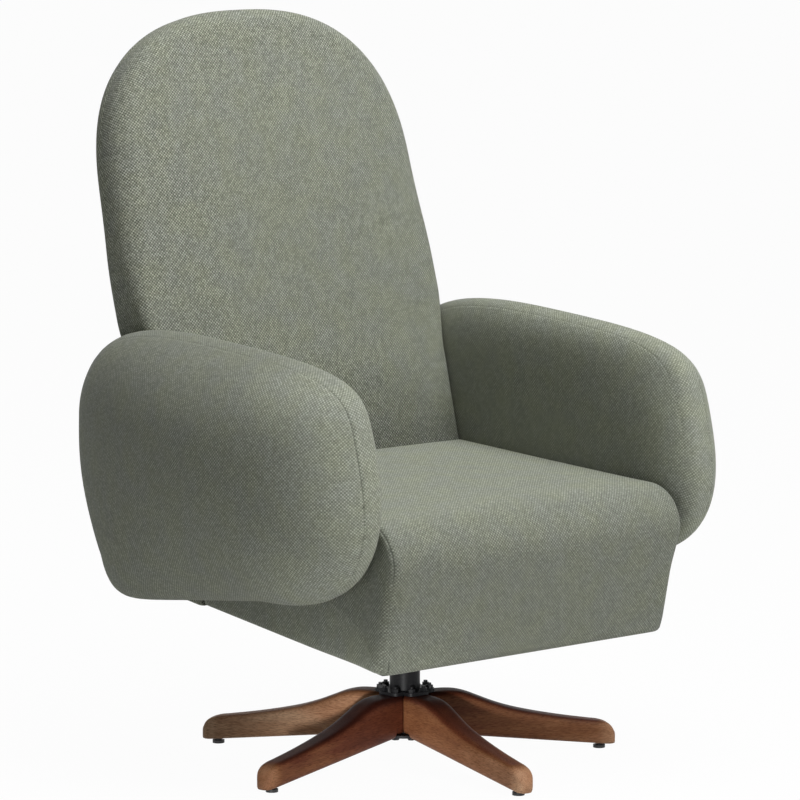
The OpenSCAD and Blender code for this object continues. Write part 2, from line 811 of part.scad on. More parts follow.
// Sharp corners of the seat's side outline, as [y, z]: rear top, front top, front foot, rear foot
recline_tan = tan(back_recline);
function back_face_y(z) = back_front_y - pad_gap + (z - seat_rear_h) * recline_tan;
function top_z(y) = seat_rear_h + (y - back_front_y) * tan(seat_pitch);
seat_front_top = let (t = tan(seat_front_lean), s = tan(seat_pitch),
    y = (-seat_front_reach + (body_foot_z(-seat_front_reach) - seat_rear_h + back_front_y * s) * t)
        / (1 + s * t)) [y, top_z(y)];
seat_rear_foot = let (y = (back_front_y - pad_gap + (under_h + sheet_t - seat_rear_h) * recline_tan)
    / (1 - under_tilt * recline_tan)) [y, body_foot_z(y)];
seat_corners = [[back_face_y(seat_rear_h), seat_rear_h], seat_front_top,
                [-seat_front_reach, body_foot_z(-seat_front_reach)], seat_rear_foot];
seat_corner_rs = [seat_foot_r / 2, seat_nose_r, seat_foot_r, seat_foot_r / 10];

// A closed outline round sharp corners, drawn in by d, as [y, z, normal y, normal z]
function round_outline(corners, rs, d) =
    let (n = len(corners))
    [for (i = [0 : n - 1])
        let (v = corners[i], e0 = unit(v - corners[(i + n - 1) % n]),
             e1 = unit(corners[(i + 1) % n] - v),
             n0 = [e0[1], -e0[0]], n1 = [e1[1], -e1[0]],
             r = max(rs[i] - d, rs[n - 1] / 2),
             c = v - (d + r) * (n0 + n1) / (1 + n0 * n1),
             v2 = corners[(i + 1) % n], e2 = unit(corners[(i + 2) % n] - v2),
             n2 = [e2[1], -e2[0]],
             r2 = max(rs[(i + 1) % n] - d, rs[n - 1] / 2),
             c2 = v2 - (d + r2) * (n1 + n2) / (1 + n1 * n2),
             turn = acos(min(1, n0 * n1)), a0 = atan2(n0[1], n0[0]))
        for (k = [0 : seat_arc_steps + seat_edge_steps - 1])
            k <= seat_arc_steps
            ? let (a = a0 + turn * k / seat_arc_steps)
              [c[0] + r * cos(a), c[1] + r * sin(a), cos(a), sin(a)]
            : let (s = (k - seat_arc_steps) / seat_edge_steps,
                   p = (1 - s) * (c + r * n1) + s * (c2 + r2 * n1))
              [p[0], p[1], n1[0], n1[1]]];

// Crown over the seat: full in the middle, nothing at the edges
function seat_swell(x, p) =
    let (gx = 1 - pow(x / (seat_w / 2), 2),
         y0 = seat_front_top[0], y1 = back_front_y,
         gy = max(0, 1 - pow((p[0] - (y0 + y1) / 2) / ((y1 - y0) / 2), 4)),
         gz = max(0, min(1, (p[1] - under_h) / (seat_rear_h - under_h))))
    [-seat_front_crown * gx * max(0, -p[2]) * sin(half_turn * gz),
     seat_crown * gx * gy * max(0, p[3])];
function seat_ring(x, d) =
    [for (p = round_outline(seat_corners, seat_corner_rs, d))
        let (w = seat_swell(x, p),
             low = (seat_rear_h - p[1]) / (seat_rear_h - under_h),
             fore = smooth_step((-p[0] - flare_from) / flare_over),
             k = 1 + (seat_flare * fore - seat_taper * low) / (seat_w / 2))
        [x * k, p[0] + w[0], p[1] + w[1]]];
seat_half_w = seat_w / 2 - pad_gap / 2;
seat_sections = concat(
    [for (i = [0 : seat_side_steps]) let (a = quarter * i / seat_side_steps)
        [-(seat_half_w - seat_side_r + seat_side_r * cos(a)), seat_side_r * (1 - sin(a))]],
    [for (i = [1 : seat_across_steps - 1])
        [(seat_half_w - seat_side_r) * (2 * i / seat_across_steps - 1), 0]],
    [for (i = [seat_side_steps : -1 : 0]) let (a = quarter * i / seat_side_steps)
        [seat_half_w - seat_side_r + seat_side_r * cos(a), seat_side_r * (1 - sin(a))]]);

module seat_cushion() {
    mid = [(seat_front_top[0] + back_front_y) / 2, (seat_rear_h + under_h) / 2];
    color(fabric) difference() {
        skin([for (s = seat_sections) seat_ring(s[0], s[1])],
             [-seat_half_w + seat_taper / 2, mid[0], mid[1]],
             [seat_half_w - seat_taper / 2, mid[0], mid[1]]);
        translate([-frame_x - pad_gap, front_rail_y - pad_gap, 0])
            cube([2 * (frame_x + pad_gap), chair_w, cavity_top_h]);
        both_sides() arm_bolt_places() bar_x(0, chair_w, frame_bolt_r + arm_bolt_hole_gap);
    }
}

module dust_cover() {
    color(rubber_black) difference() {
        translate([-cover_edge_x, 0, 0]) rotate([quarter, 0, quarter])
            linear_extrude(2 * cover_edge_x) polygon([
                [-cover_front_y, under_z(-cover_front_y)], [rail_end_y, under_z(rail_end_y)],
                [rail_end_y, body_foot_z(rail_end_y)], [-cover_front_y, body_foot_z(-cover_front_y)]]);
        round_plate(2 * cover_eye_x, 2 * cover_eye_y, 2 * under_h, cover_eye_x / 2, 0);
    }
}

// Back

// The back's own frame: x across, y into the back from its front face, z up the recline
module on_back() {
    translate([0, back_front_y, seat_rear_h]) rotate([-back_recline, 0, 0]) children();
}

// Half-width of the back at a height up the recline
function back_half_at(h) =
    let (a = max(0, (h - back_top_reach + back_arch_reach) / back_arch_reach),
         full = back_half_w + (back_top_reach - back_arch_reach - h) * tan(back_side_lean),
         swell = smooth_step((h - back_swell_low) / (back_swell_high - back_swell_low)))
    (back_low_half_w + (full - back_low_half_w) * swell)
        * pow(max(0, 1 - pow(a, back_arch_n)), 1 / back_arch_n);

// Outline of the back as [x, h], anticlockwise seen from the front, from its foot on the right
back_arch_points = 12;
back_side_points = 9;
function back_side_outline() = concat(
    [for (i = [0 : back_side_points - 1])
        let (h = -back_foot_reach + (back_top_reach - back_arch_reach + back_foot_reach)
                 * i / back_side_points) [back_half_at(h), h]],
    [for (i = [0 : back_arch_points - 1])
        let (a = quarter * i / back_arch_points,
             h = back_top_reach - back_arch_reach
                 + back_arch_reach * pow(sin(a), 2 / back_arch_n))
        [(back_half_w + (back_top_reach - back_arch_reach - h) * tan(back_side_lean))
            * pow(cos(a), 2 / back_arch_n), h]]);
function back_outline() = let (s = back_side_outline(), n = len(s)) concat(
    s, [[0, back_top_reach]], [for (i = [n - 1 : -1 : 0]) [-s[i][0], s[i][1]]]);

// Outline drawn in by d, then shrunk by k about the back's middle
function back_ring(d, k, depth, swell) =
    let (o = back_outline(), n = len(o))
    [for (i = [0 : n - 1])
        let (t = unit(o[min(i + 1, n - 1)] - o[max(i - 1, 0)]),
             p = o[i] - d * [t[1], -t[0]],
             q = [p[0] * k, back_mid_reach + (p[1] - back_mid_reach) * k])
        [q[0], depth - swell * (1 - k * k) * smooth_step((q[1] - back_crown_low) / back_crown_rise),
         q[1]]];
back_ring_turns = [for (i = [0 : pad_rings - 3]) quarter * i / (pad_rings - 3)];
back_front_shares = [0.8, 0.62, 0.45, 0.22];
back_rear_shares = [0.35, 0.7];

module back_form() {
    rear = [for (k = back_rear_shares) back_ring(back_rear_r, k, back_t, -back_rear_crown)];
    rear_edge = [for (i = [len(back_ring_turns) - 1 : -1 : 0]) let (a = back_ring_turns[i])
        back_ring(back_rear_r * (1 - cos(a)), 1, back_t - back_rear_r * (1 - sin(a)), 0)];
    front_edge = [for (a = back_ring_turns)
        back_ring(back_front_r * (1 - cos(a)), 1, back_front_r * (1 - sin(a)), 0)];
    front = [for (k = back_front_shares) back_ring(back_front_r, k, 0, back_crown)];
    on_back() skin(concat(rear, rear_edge, front_edge, front),
                   [0, back_t + back_rear_crown, back_mid_reach],
                   [0, -back_crown, back_mid_reach]);
}

// A flat board in the back's outline, drawn in by d, between two depths
module back_board(d, y0, y1) {
    on_back() translate([0, y1, 0]) rotate([quarter, 0, 0]) linear_extrude(y1 - y0)
        polygon([for (p = back_ring(d, 1, 0, 0)) [p[0], p[2]]]);
}

module back_cushion() {
    color(fabric) difference() {
        back_form();
        back_board(back_side_wall, back_wall, back_t + over);
        below_underside(sheet_t);
        translate([-frame_x - pad_gap, 0, 0])
            cube([2 * (frame_x + pad_gap), rail_end_y + pad_gap, rail_top_h + pad_gap]);
    }
}

module back_panel() {
    color(fabric) difference() {
        intersection() {
            back_form();
            back_board(back_side_wall + back_seam_gap, post_rear + pad_gap, back_t + over);
        }
        below_underside(sheet_t);
        translate([-frame_x - pad_gap, 0, 0])
            cube([2 * (frame_x + pad_gap), rail_end_y + pad_gap, rail_top_h + pad_gap]);
    }
}

module back_post() {
    difference() {
        on_back() translate([rail_in_x - post_t, post_front, -post_foot])
            cube([post_t, post_rear - post_front, post_foot + post_top]);
        below_underside(sheet_t);
        back_bolt_places() bar_x(0, frame_x, frame_bolt_r + screw_hole_gap);
    }
}

module back_arch() {
    y0 = (post_front + post_rear - arch_t) / 2;
    edge_d = back_side_wall + pad_gap;
    color(beech) intersection() {
        difference() {
            back_board(edge_d, y0, y0 + arch_t);
            back_board(edge_d + arch_depth, y0 - over, y0 + arch_t + over);
        }
        on_back() translate([-chair_w / 2, 0, post_top]) cube([chair_w, chair_w, chair_w]);
    }
}

// A rail across between the back posts
module back_rail(low, h) {
    y0 = (post_front + post_rear - rail_t) / 2;
    color(beech) difference() {
        on_back() translate([-rail_in_x + post_t, y0, low])
            cube([2 * (rail_in_x - post_t), rail_t, h]);
        below_underside(sheet_t);
    }
}

module back_webbing() {
    color(felt_grey) on_back() for (i = [0 : web_count - 1])
        translate([-rail_in_x, post_front - web_t, web_low + i * (web_h + web_gap)])
            cube([2 * rail_in_x, web_t, web_h]);
}

module back_bolts() {
    inner = rail_in_x - post_t;
    color(bright_steel) both_sides() back_bolt_places() union() {
        translate([inner - back_bolt_head_h, 0, 0]) rotate([0, quarter, 0])
            cylinder(r = back_bolt_head_r, h = back_bolt_head_h, $fn = hex_sides);
        bar_x(inner - back_bolt_head_h / 2, frame_x - bolt_tip_gap, frame_bolt_r);
    }
}

// Arms

// Outline of the arm at share rho, as [y, z] from its middle; w is -1 on the inner face,
// 0 on the rim and 1 on the outer face
function arm_outline(a, rho, w) =
    let (c = cos(a), s = sin(a),
         full = s >= 0 ? (c < 0 ? arm_top_front_n + arm_top_front_gain_n * w : arm_top_rear_n)
                       : (c < 0 ? arm_foot_front_n + arm_foot_front_gain_n * w : arm_foot_rear_n),
         n = 2 + (full - 2) * pow(rho, arm_square_n),
         k = rho / pow(pow(abs(c), n) + pow(abs(s), n), 1 / n), cu = k * c, cv = k * s,
         u = cu * (c < 0 ? arm_front_reach : arm_rear_reach),
         v = cv * (s >= 0 ? arm_top_reach : arm_foot_reach),
         slope = s >= 0 ? arm_top_slope_share
                        : (c < 0 ? arm_foot_slope_front_share : arm_foot_slope_rear_share),
         belly = arm_belly_t * pow(max(0, cu), 4)
                 * sin(half_turn * max(-1, min(1, -v / arm_belly_h))))
    [u + arm_lean_share * v + belly, v + slope * u * cv * cv];
function arm_ring(lat) =
    let (p = lat < 0 ? arm_in_outline_n : arm_out_outline_n,
         q = lat < 0 ? arm_in_profile_n : arm_out_profile_n,
         t = lat < 0 ? arm_rim_x - arm_in_x : arm_out_x - arm_rim_x,
         rho = pow(abs(cos(lat)), 2 / p), x = arm_rim_x + t * spow(sin(lat), 2 / q),
         out = max(0, x - arm_rim_x))
    [for (j = [0 : pad_around - 1])
        let (w = arm_outline(full_turn * j / pad_around, rho, sin(lat)))
        [x, arm_mid_y + w[0] + arm_toe_share * out, arm_mid_h + w[1] + arm_drop_share * out]];

module arm_form() {
    out = arm_out_x - arm_rim_x;
    skin([for (i = [-pad_rings + 1 : pad_rings - 1]) arm_ring(quarter * i / pad_rings)],
         [arm_in_x, arm_mid_y, arm_mid_h],
         [arm_out_x, arm_mid_y + arm_toe_share * out, arm_mid_h + arm_drop_share * out]);
}

// The arm panel's board, grown by a gap, between two places in X
module arm_board(gap, x0, x1) {
    translate([x0, arm_mid_y, arm_mid_h]) rotate([quarter, 0, quarter])
        linear_extrude(x1 - x0) polygon([for (j = [0 : pad_around - 1])
            arm_outline(full_turn * j / pad_around, arm_panel_share + gap / arm_top_reach,
                        arm_panel_w)]);
}

module arm_pad() {
    difference() {
        arm_form();
        arm_board(pad_gap, arm_panel_x - pad_gap, arm_panel_x + arm_panel_t + pad_gap);
        arm_bolt_places() {
            bar_x(0, arm_panel_x + over / 10, frame_bolt_r + arm_bolt_hole_gap);
            bar_x(arm_panel_x, arm_panel_x + arm_panel_t + tee_t + pad_gap, tee_r + pad_gap);
        }
    }
}

module arm_panel() {
    difference() {
        arm_board(0, arm_panel_x, arm_panel_x + arm_panel_t);
        arm_bolt_places() bar_x(0, chair_w, tee_barrel_r);
    }
}

module arm_bolts() {
    color(bright_steel) both_sides() arm_bolt_places() union() {
        translate([rail_in_x - back_bolt_head_h, 0, 0]) rotate([0, quarter, 0])
            cylinder(r = back_bolt_head_r, h = back_bolt_head_h, $fn = hex_sides);
        bar_x(rail_in_x - back_bolt_head_h / 2, arm_panel_x + arm_panel_t, frame_bolt_r);
    }
}

module arm_tee_nuts() {
    far = arm_panel_x + arm_panel_t;
    color(bright_steel) both_sides() arm_bolt_places() difference() {
        union() {
            bar_x(far, far + tee_t, tee_r);
            bar_x(far - tee_barrel_l, far, tee_barrel_r);
        }
        bar_x(far - over, far + over, frame_bolt_r);
    }
}

leg(0);  // leg_1
leg(1);  // leg_2
leg(2);  // leg_3
leg(3);  // leg_4
leg(4);  // leg_5
leg_glides();
clamp_plate();
hub_flange();
hub_bolts();
hub_nuts();
column_tube();
lower_bush();
upper_bush();
thrust_washer();
spindle();
spindle_clip();
pivot_bracket();
rock_axle();
axle_clips();
bump_stops(-1, rock_forward);  // front_bump_stops
bump_stops(1, rock_back);  // rear_bump_stops
rock_springs(-1);  // front_rock_springs
rock_springs(1);  // rear_rock_springs
rock_plate();
rock_bushes();
plate_screws();
front_rail();
rear_rail();
color(beech) mirror([1, 0, 0]) side_rail();  // left_side_rail
color(beech) side_rail();  // right_side_rail
cross_rail(-screw_y);  // front_cross_rail
cross_rail(screw_y);  // rear_cross_rail
corner_blocks();
seat_springs();
spring_clips();
seat_pad();
seat_cushion();
dust_cover();
color(beech) mirror([1, 0, 0]) back_post();  // left_back_post
color(beech) back_post();  // right_back_post
back_arch();
back_rail(lumbar_low, lumbar_h);  // back_lumbar_rail
back_rail(foot_rail_low, foot_rail_h);  // back_foot_rail
back_webbing();
back_cushion();
back_panel();
back_bolts();
color(beech) mirror([1, 0, 0]) arm_panel();  // left_arm_panel
color(beech) arm_panel();  // right_arm_panel
color(fabric) mirror([1, 0, 0]) arm_pad();  // left_arm_pad
color(fabric) arm_pad();  // right_arm_pad
arm_bolts();
arm_tee_nuts();
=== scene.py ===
"""Looks of a swivel rocking armchair: sage upholstery on a walnut star base."""

import json
import math

import bmesh
import bpy
import numpy as np
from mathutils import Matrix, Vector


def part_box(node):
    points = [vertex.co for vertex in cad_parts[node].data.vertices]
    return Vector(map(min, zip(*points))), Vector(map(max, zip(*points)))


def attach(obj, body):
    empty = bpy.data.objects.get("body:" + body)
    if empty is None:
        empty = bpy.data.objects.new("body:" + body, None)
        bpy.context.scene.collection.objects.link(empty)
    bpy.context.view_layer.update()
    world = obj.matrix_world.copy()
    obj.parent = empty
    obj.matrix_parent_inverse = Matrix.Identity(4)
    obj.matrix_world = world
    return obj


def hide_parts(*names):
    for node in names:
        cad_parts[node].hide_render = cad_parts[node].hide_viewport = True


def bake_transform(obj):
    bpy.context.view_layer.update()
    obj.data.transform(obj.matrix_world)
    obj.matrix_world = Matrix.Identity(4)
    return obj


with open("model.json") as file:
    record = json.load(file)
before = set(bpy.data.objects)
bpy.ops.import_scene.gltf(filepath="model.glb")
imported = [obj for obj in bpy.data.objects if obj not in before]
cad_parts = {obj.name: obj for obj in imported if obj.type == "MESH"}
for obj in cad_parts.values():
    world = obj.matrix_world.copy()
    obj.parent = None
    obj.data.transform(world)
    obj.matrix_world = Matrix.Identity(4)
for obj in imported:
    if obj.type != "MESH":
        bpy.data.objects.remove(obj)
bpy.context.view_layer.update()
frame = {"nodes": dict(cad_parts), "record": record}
nodes = frame["nodes"]

MM = 0.001

# Sizes of the upholstery and the base, in millimetres
SEAT_W = 548.0
SEAT_REAR_H = 431.0
SEAT_PITCH = math.radians(2.44)
SEAT_FRONT = 268.0
SEAT_LEAN = math.radians(11.2)
UNDER_H = 223.4
UNDER_TILT = math.tan(math.radians(6.93))
COVER_T = 1.6
RECLINE = math.radians(14.6)
BACK_Y = 185.0
BACK_T = 80.0
BACK_TOP = 686.0
BACK_ARCH = 254.0
BACK_ARCH_N = 2.52
BACK_MID = 230.0
BACK_FOOT = 240.0
BACK_HALF = 288.6
FRAME_X = 260.0
RAIL_FRONT_Y = -236.0
CAVITY_TOP = 359.4
GAP = 0.4
CHAIR_HALF = 434.5
ARM_IN = 274.4
ARM_RIM = 313.4
ARM_MID = (-10.9, 517.0)
HUB_Z = 100.0
BASE_TURN = math.radians(-26.3)


# Numbers and meshes

def signed_power(a, p):
    return np.sign(a) * np.abs(a) ** p


def smooth_step(a):
    t = np.clip(a, 0, 1)
    return t * t * (3 - 2 * t)


def hump(value, half):
    """A smooth hump of height 1 about the value 0."""
    return np.exp(-(value / half) ** 2)


def facing(turns, degrees, low, span):
    """Share, 0 to 1, by which directions face a given one, by the cosine between them."""
    return smooth_step((np.cos(turns - math.radians(degrees)) - low) / span)


def running_length(points):
    """Length along a line of points, from the first to each of them."""
    return np.concatenate([[0], np.cumsum(np.linalg.norm(np.diff(points, axis=0), axis=1))])


def evenly_along(path, count):
    """Points spaced evenly along a line of points."""
    run = running_length(path)
    at = np.linspace(0, run[-1], count)
    return np.stack([np.interp(at, run, path[:, i]) for i in range(path.shape[1])], -1)


BESIDE_SEAM = np.array([-6, -4.5, -3, -2, -1.3, -0.6, 0, 0.6, 1.3, 2, 3, 4.5, 6])
CLEAR_OF_SEAM = 6.5


def even_rows(dense, step, kept=()):
    """Parameters along a path whose lengths are spaced evenly.

    dense is (parameters, points). The kept parameters, those of the seams, are added with
    close rows beside them."""
    params, points = dense
    run = running_length(points)
    count = int(run[-1] / step)
    wanted = np.linspace(0, run[-1], count + 1)
    for at in kept:
        here = np.interp(at, params, run)
        wanted = wanted[np.abs(wanted - here) > CLEAR_OF_SEAM]
        wanted = np.concatenate([wanted, here + BESIDE_SEAM])
    return np.interp(np.sort(wanted), run, params)


def grid_normals(points):
    """Outward normals of a closed grid: rows run pole to pole, columns go round."""
    along = np.gradient(points, axis=0)
    around = np.roll(points, -1, axis=1) - np.roll(points, 1, axis=1)
    normal = np.cross(along, around)
    normal /= np.maximum(np.linalg.norm(normal, axis=2, keepdims=True), 1e-9)
    middle = points.reshape(-1, 3).mean(0)
    if (normal * (points - middle)).sum() < 0:
        normal = -normal
    return normal


def lengths_along(points):
    """Running length down each column of a grid, from its first row."""
    steps = np.linalg.norm(np.diff(points, axis=0), axis=2)
    return np.concatenate([np.zeros((1, points.shape[1])), np.cumsum(steps, axis=0)])


def lengths_around(row):
    """Running length round one closed row, with the full length at the end."""
    return running_length(np.concatenate([row, row[:1]]))


def cloth_wrinkle(points, size, seed):
    """A slow unevenness of the padding: three crossed sine waves over the surface."""
    x, y, z = (points[..., i] for i in range(3))
    wave = (np.sin(x / 61 + z / 83 + seed) + np.sin(y / 71 - z / 47 + 2.1 * seed)
            + np.sin((x + y) / 103 + z / 139 + 0.7 * seed))
    return size * wave / 3


def wrapped(grid):
    """A column grid with its first column repeated at the end."""
    return np.concatenate([grid, grid[:, :1]], axis=1)


def joined(a, b):
    """Two arrays, spread to one shape, as pairs of coordinates."""
    return np.stack(np.broadcast_arrays(a, b), -1)


def grid_quads(rows, cols):
    """Faces of a grid of points whose columns close into a ring."""
    i = (np.arange(rows - 1) * cols)[:, None]
    j = np.arange(cols)[None, :]
    k = (j + 1) % cols
    return np.stack([i + j, i + k, i + cols + k, i + cols + j], -1).reshape(-1, 4)


def smooth_mesh(name, points, faces):
    """A smooth-shaded mesh of points in millimetres."""
    mesh = bpy.data.meshes.new(name)
    mesh.from_pydata((points * MM).tolist(), [], faces)
    mesh.polygons.foreach_set("use_smooth", np.ones(len(faces), bool))
    mesh.update()
    return mesh


def in_scene(name, data):
    """A new object of this data, linked into the scene."""
    made = bpy.data.objects.new(name, data)
    bpy.context.scene.collection.objects.link(made)
    return made


def point_values(mesh, name, values, kind="FLOAT", field="value"):
    """Keeps a number or a vector on each point of a mesh, for a material to read."""
    made = mesh.attributes.new(name, kind, "POINT")
    made.data.foreach_set(field, values.astype(np.float32).reshape(-1))


def skin_piece(name, rings, pole_a, pole_b, strips, pole_uv, painted_light_and_seams=None):
    """A closed mesh over a grid of points in millimetres, with a pole point at each end.

    strips[i] holds the cloth coordinates of the two rows beside strip i, so a seam can
    start a new panel between two strips. The last argument gives, at each point of the
    grid, how much lighter the cloth's colour is made: painted light and shade, and dark
    seam lines."""
    rows, cols = rings.shape[:2]
    points = np.concatenate([rings.reshape(-1, 3), [pole_a], [pole_b]])
    quads = grid_quads(rows, cols)
    r = np.arange(cols)
    n = (r + 1) % cols
    last = (rows - 1) * cols
    fan_a = np.stack([np.full(cols, rows * cols), n, r], -1)
    fan_b = np.stack([np.full(cols, rows * cols + 1), last + r, last + n], -1)
    uv_quads = np.stack([strips[:, 0, :-1], strips[:, 0, 1:], strips[:, 1, 1:], strips[:, 1, :-1]], 2)
    first, final = strips[0, 0], strips[-1, 1]
    uv_a = np.stack([np.broadcast_to(pole_uv[0], (cols, 2)), first[1:], first[:-1]], 1)
    uv_b = np.stack([np.broadcast_to(pole_uv[1], (cols, 2)), final[:-1], final[1:]], 1)
    a, b, c = np.moveaxis(points[quads[:, :3]], 1, 0)
    volume = ((a - points.mean(0)) * np.cross(b - a, c - a)).sum()
    uv_quads = uv_quads.reshape(-1, 4, 2)
    if volume < 0:
        quads, fan_a, fan_b = quads[:, ::-1], fan_a[:, ::-1], fan_b[:, ::-1]
        uv_quads, uv_a, uv_b = uv_quads[:, ::-1], uv_a[:, ::-1], uv_b[:, ::-1]
    mesh = smooth_mesh(name, points, quads.tolist() + fan_a.tolist() + fan_b.tolist())
    layer = mesh.uv_layers.new(name="cloth")
    flat = np.concatenate([uv_quads.reshape(-1), uv_a.reshape(-1), uv_b.reshape(-1)]) * MM
    layer.data.foreach_set("uv", flat.astype(np.float32))
    if painted_light_and_seams is not None:
        # Painted light and shade, with seam lines, kept on the points for the cloth's colour
        point_values(mesh, "painted_light_and_seams", np.concatenate([painted_light_and_seams.reshape(-1), painted_light_and_seams[0, :1], painted_light_and_seams[-1, :1]]))
    return in_scene(name, mesh)


def panels_to_strips(panels, starts):
    """Cloth coordinates strip by strip: panel p serves the strips from starts[p] on."""
    rows = panels[0].shape[0]
    which = np.zeros(rows - 1, int)
    for p, start in enumerate(starts):
        which[start:] = p
    stack = np.stack(panels)
    i = np.arange(rows - 1)
    return np.stack([stack[which, i], stack[which, i + 1]], 1)


# Seams: how far off and how wide the swell beside one is; then each one's own depth,
# half-width and height of swell
SWELL_AT, SWELL_HALF = 5.0, 2.4
ARM_SEAM = (0.9, 1.1, 0.45)
SEAT_SEAM = (1.0, 1.3, 0.1)
BACK_SEAM = (0.7, 1.1, 0.25)


def seam_dip(distance, depth, half, swell):
    """A sewn seam across a surface: a narrow dip between two low swells."""
    beside = hump(np.abs(distance) - SWELL_AT, SWELL_HALF)
    return swell * beside - depth * hump(distance, half)


# Arms

ARM_FRONT, ARM_REAR = 279.0, 360.0
ARM_ABOVE, ARM_BELOW = 124.0, 233.5
ARM_LEAN = 0.262
ARM_TOP_SLOPE, ARM_FRONT_FOOT_SLOPE, ARM_REAR_FOOT_SLOPE = 0.071, -0.01, -0.129
# Exponents of the side outline, with what they lose or gain towards the outer face
ARM_TOP_FRONT_N, ARM_TOP_FRONT_LESS = 4.24, 0.243
ARM_FOOT_FRONT_N, ARM_FOOT_FRONT_MORE = 2.489, 0.691
ARM_TOP_REAR_N, ARM_FOOT_REAR_N = 2.556, 12.6
ARM_BELLY, ARM_BELLY_DEEP = 23.0, 177.0
ARM_SQUARE_IN, ARM_SQUARE_OUT = (4.93, 2.716), (1.83, 1.953)
ARM_TOP_EASE = 2.2
ARM_TOE_IN, ARM_DROP = 0.102, 0.175
ARM_SEAMS = (math.radians(-26), math.radians(11))
ARM_TUCKS = (197, 207, 214)
TUCK_DEPTH, STITCH_DEPTH = 1.1, 0.75
ARM_ROW_STEP, ARM_COLUMN_STEP = 5.0, 5.5
ARM_ROWS_TURN = math.radians(215)


def arm_outline(turn, rho, w):
    """Side outline of an arm at share rho of its full size.

    A superellipse with its own reach and squareness in each quadrant, rounder towards the
    middle of each face, leaned forward at the top, with a fuller lower rear edge."""
    c, s = np.cos(turn), np.sin(turn)
    top = np.where(c < 0, ARM_TOP_FRONT_N - ARM_TOP_FRONT_LESS * w, ARM_TOP_REAR_N)
    foot = np.where(c < 0, ARM_FOOT_FRONT_N + ARM_FOOT_FRONT_MORE * w, ARM_FOOT_REAR_N)
    full = np.where(s >= 0, top, foot)
    n = 2 + (full - 2) * rho ** 2.5
    k = rho / (np.abs(c) ** n + np.abs(s) ** n) ** (1 / n)
    cu, cv = k * c, k * s
    u = cu * np.where(c < 0, ARM_FRONT, ARM_REAR)
    v = cv * np.where(s >= 0, ARM_ABOVE, ARM_BELOW)
    slope = np.where(s >= 0, ARM_TOP_SLOPE, np.where(c < 0, ARM_FRONT_FOOT_SLOPE, ARM_REAR_FOOT_SLOPE))
    belly = ARM_BELLY * np.maximum(0, cu) ** 4 * np.sin(np.pi * np.clip(-v / ARM_BELLY_DEEP, -1, 1))
    return u + ARM_LEAN * v + belly, v + slope * u * cv * cv


def arm_surface(turn, lat):
    """Right arm: x follows a superellipse from the inner face over the rim to the outer
    face, while the outline shrinks with it, rounder over the top than at the front; the
    outer half drops and toes in."""
    eased = ARM_SQUARE_IN[0] - ARM_TOP_EASE * facing(turn, 118, 0, 0.9)
    p = np.where(lat < 0, eased, ARM_SQUARE_OUT[0])
    q = np.where(lat < 0, ARM_SQUARE_IN[1], ARM_SQUARE_OUT[1])
    half = np.where(lat < 0, ARM_RIM - ARM_IN, CHAIR_HALF - ARM_RIM)
    rho = np.abs(np.cos(lat)) ** (2 / p)
    x = ARM_RIM + half * signed_power(np.sin(lat), 2 / q)
    out = np.maximum(0, x - ARM_RIM)
    y, z = arm_outline(turn, rho, np.sin(lat))
    return np.stack([x + 0 * y, ARM_MID[0] + y - ARM_TOE_IN * out,
                     ARM_MID[1] + z - ARM_DROP * out], -1)


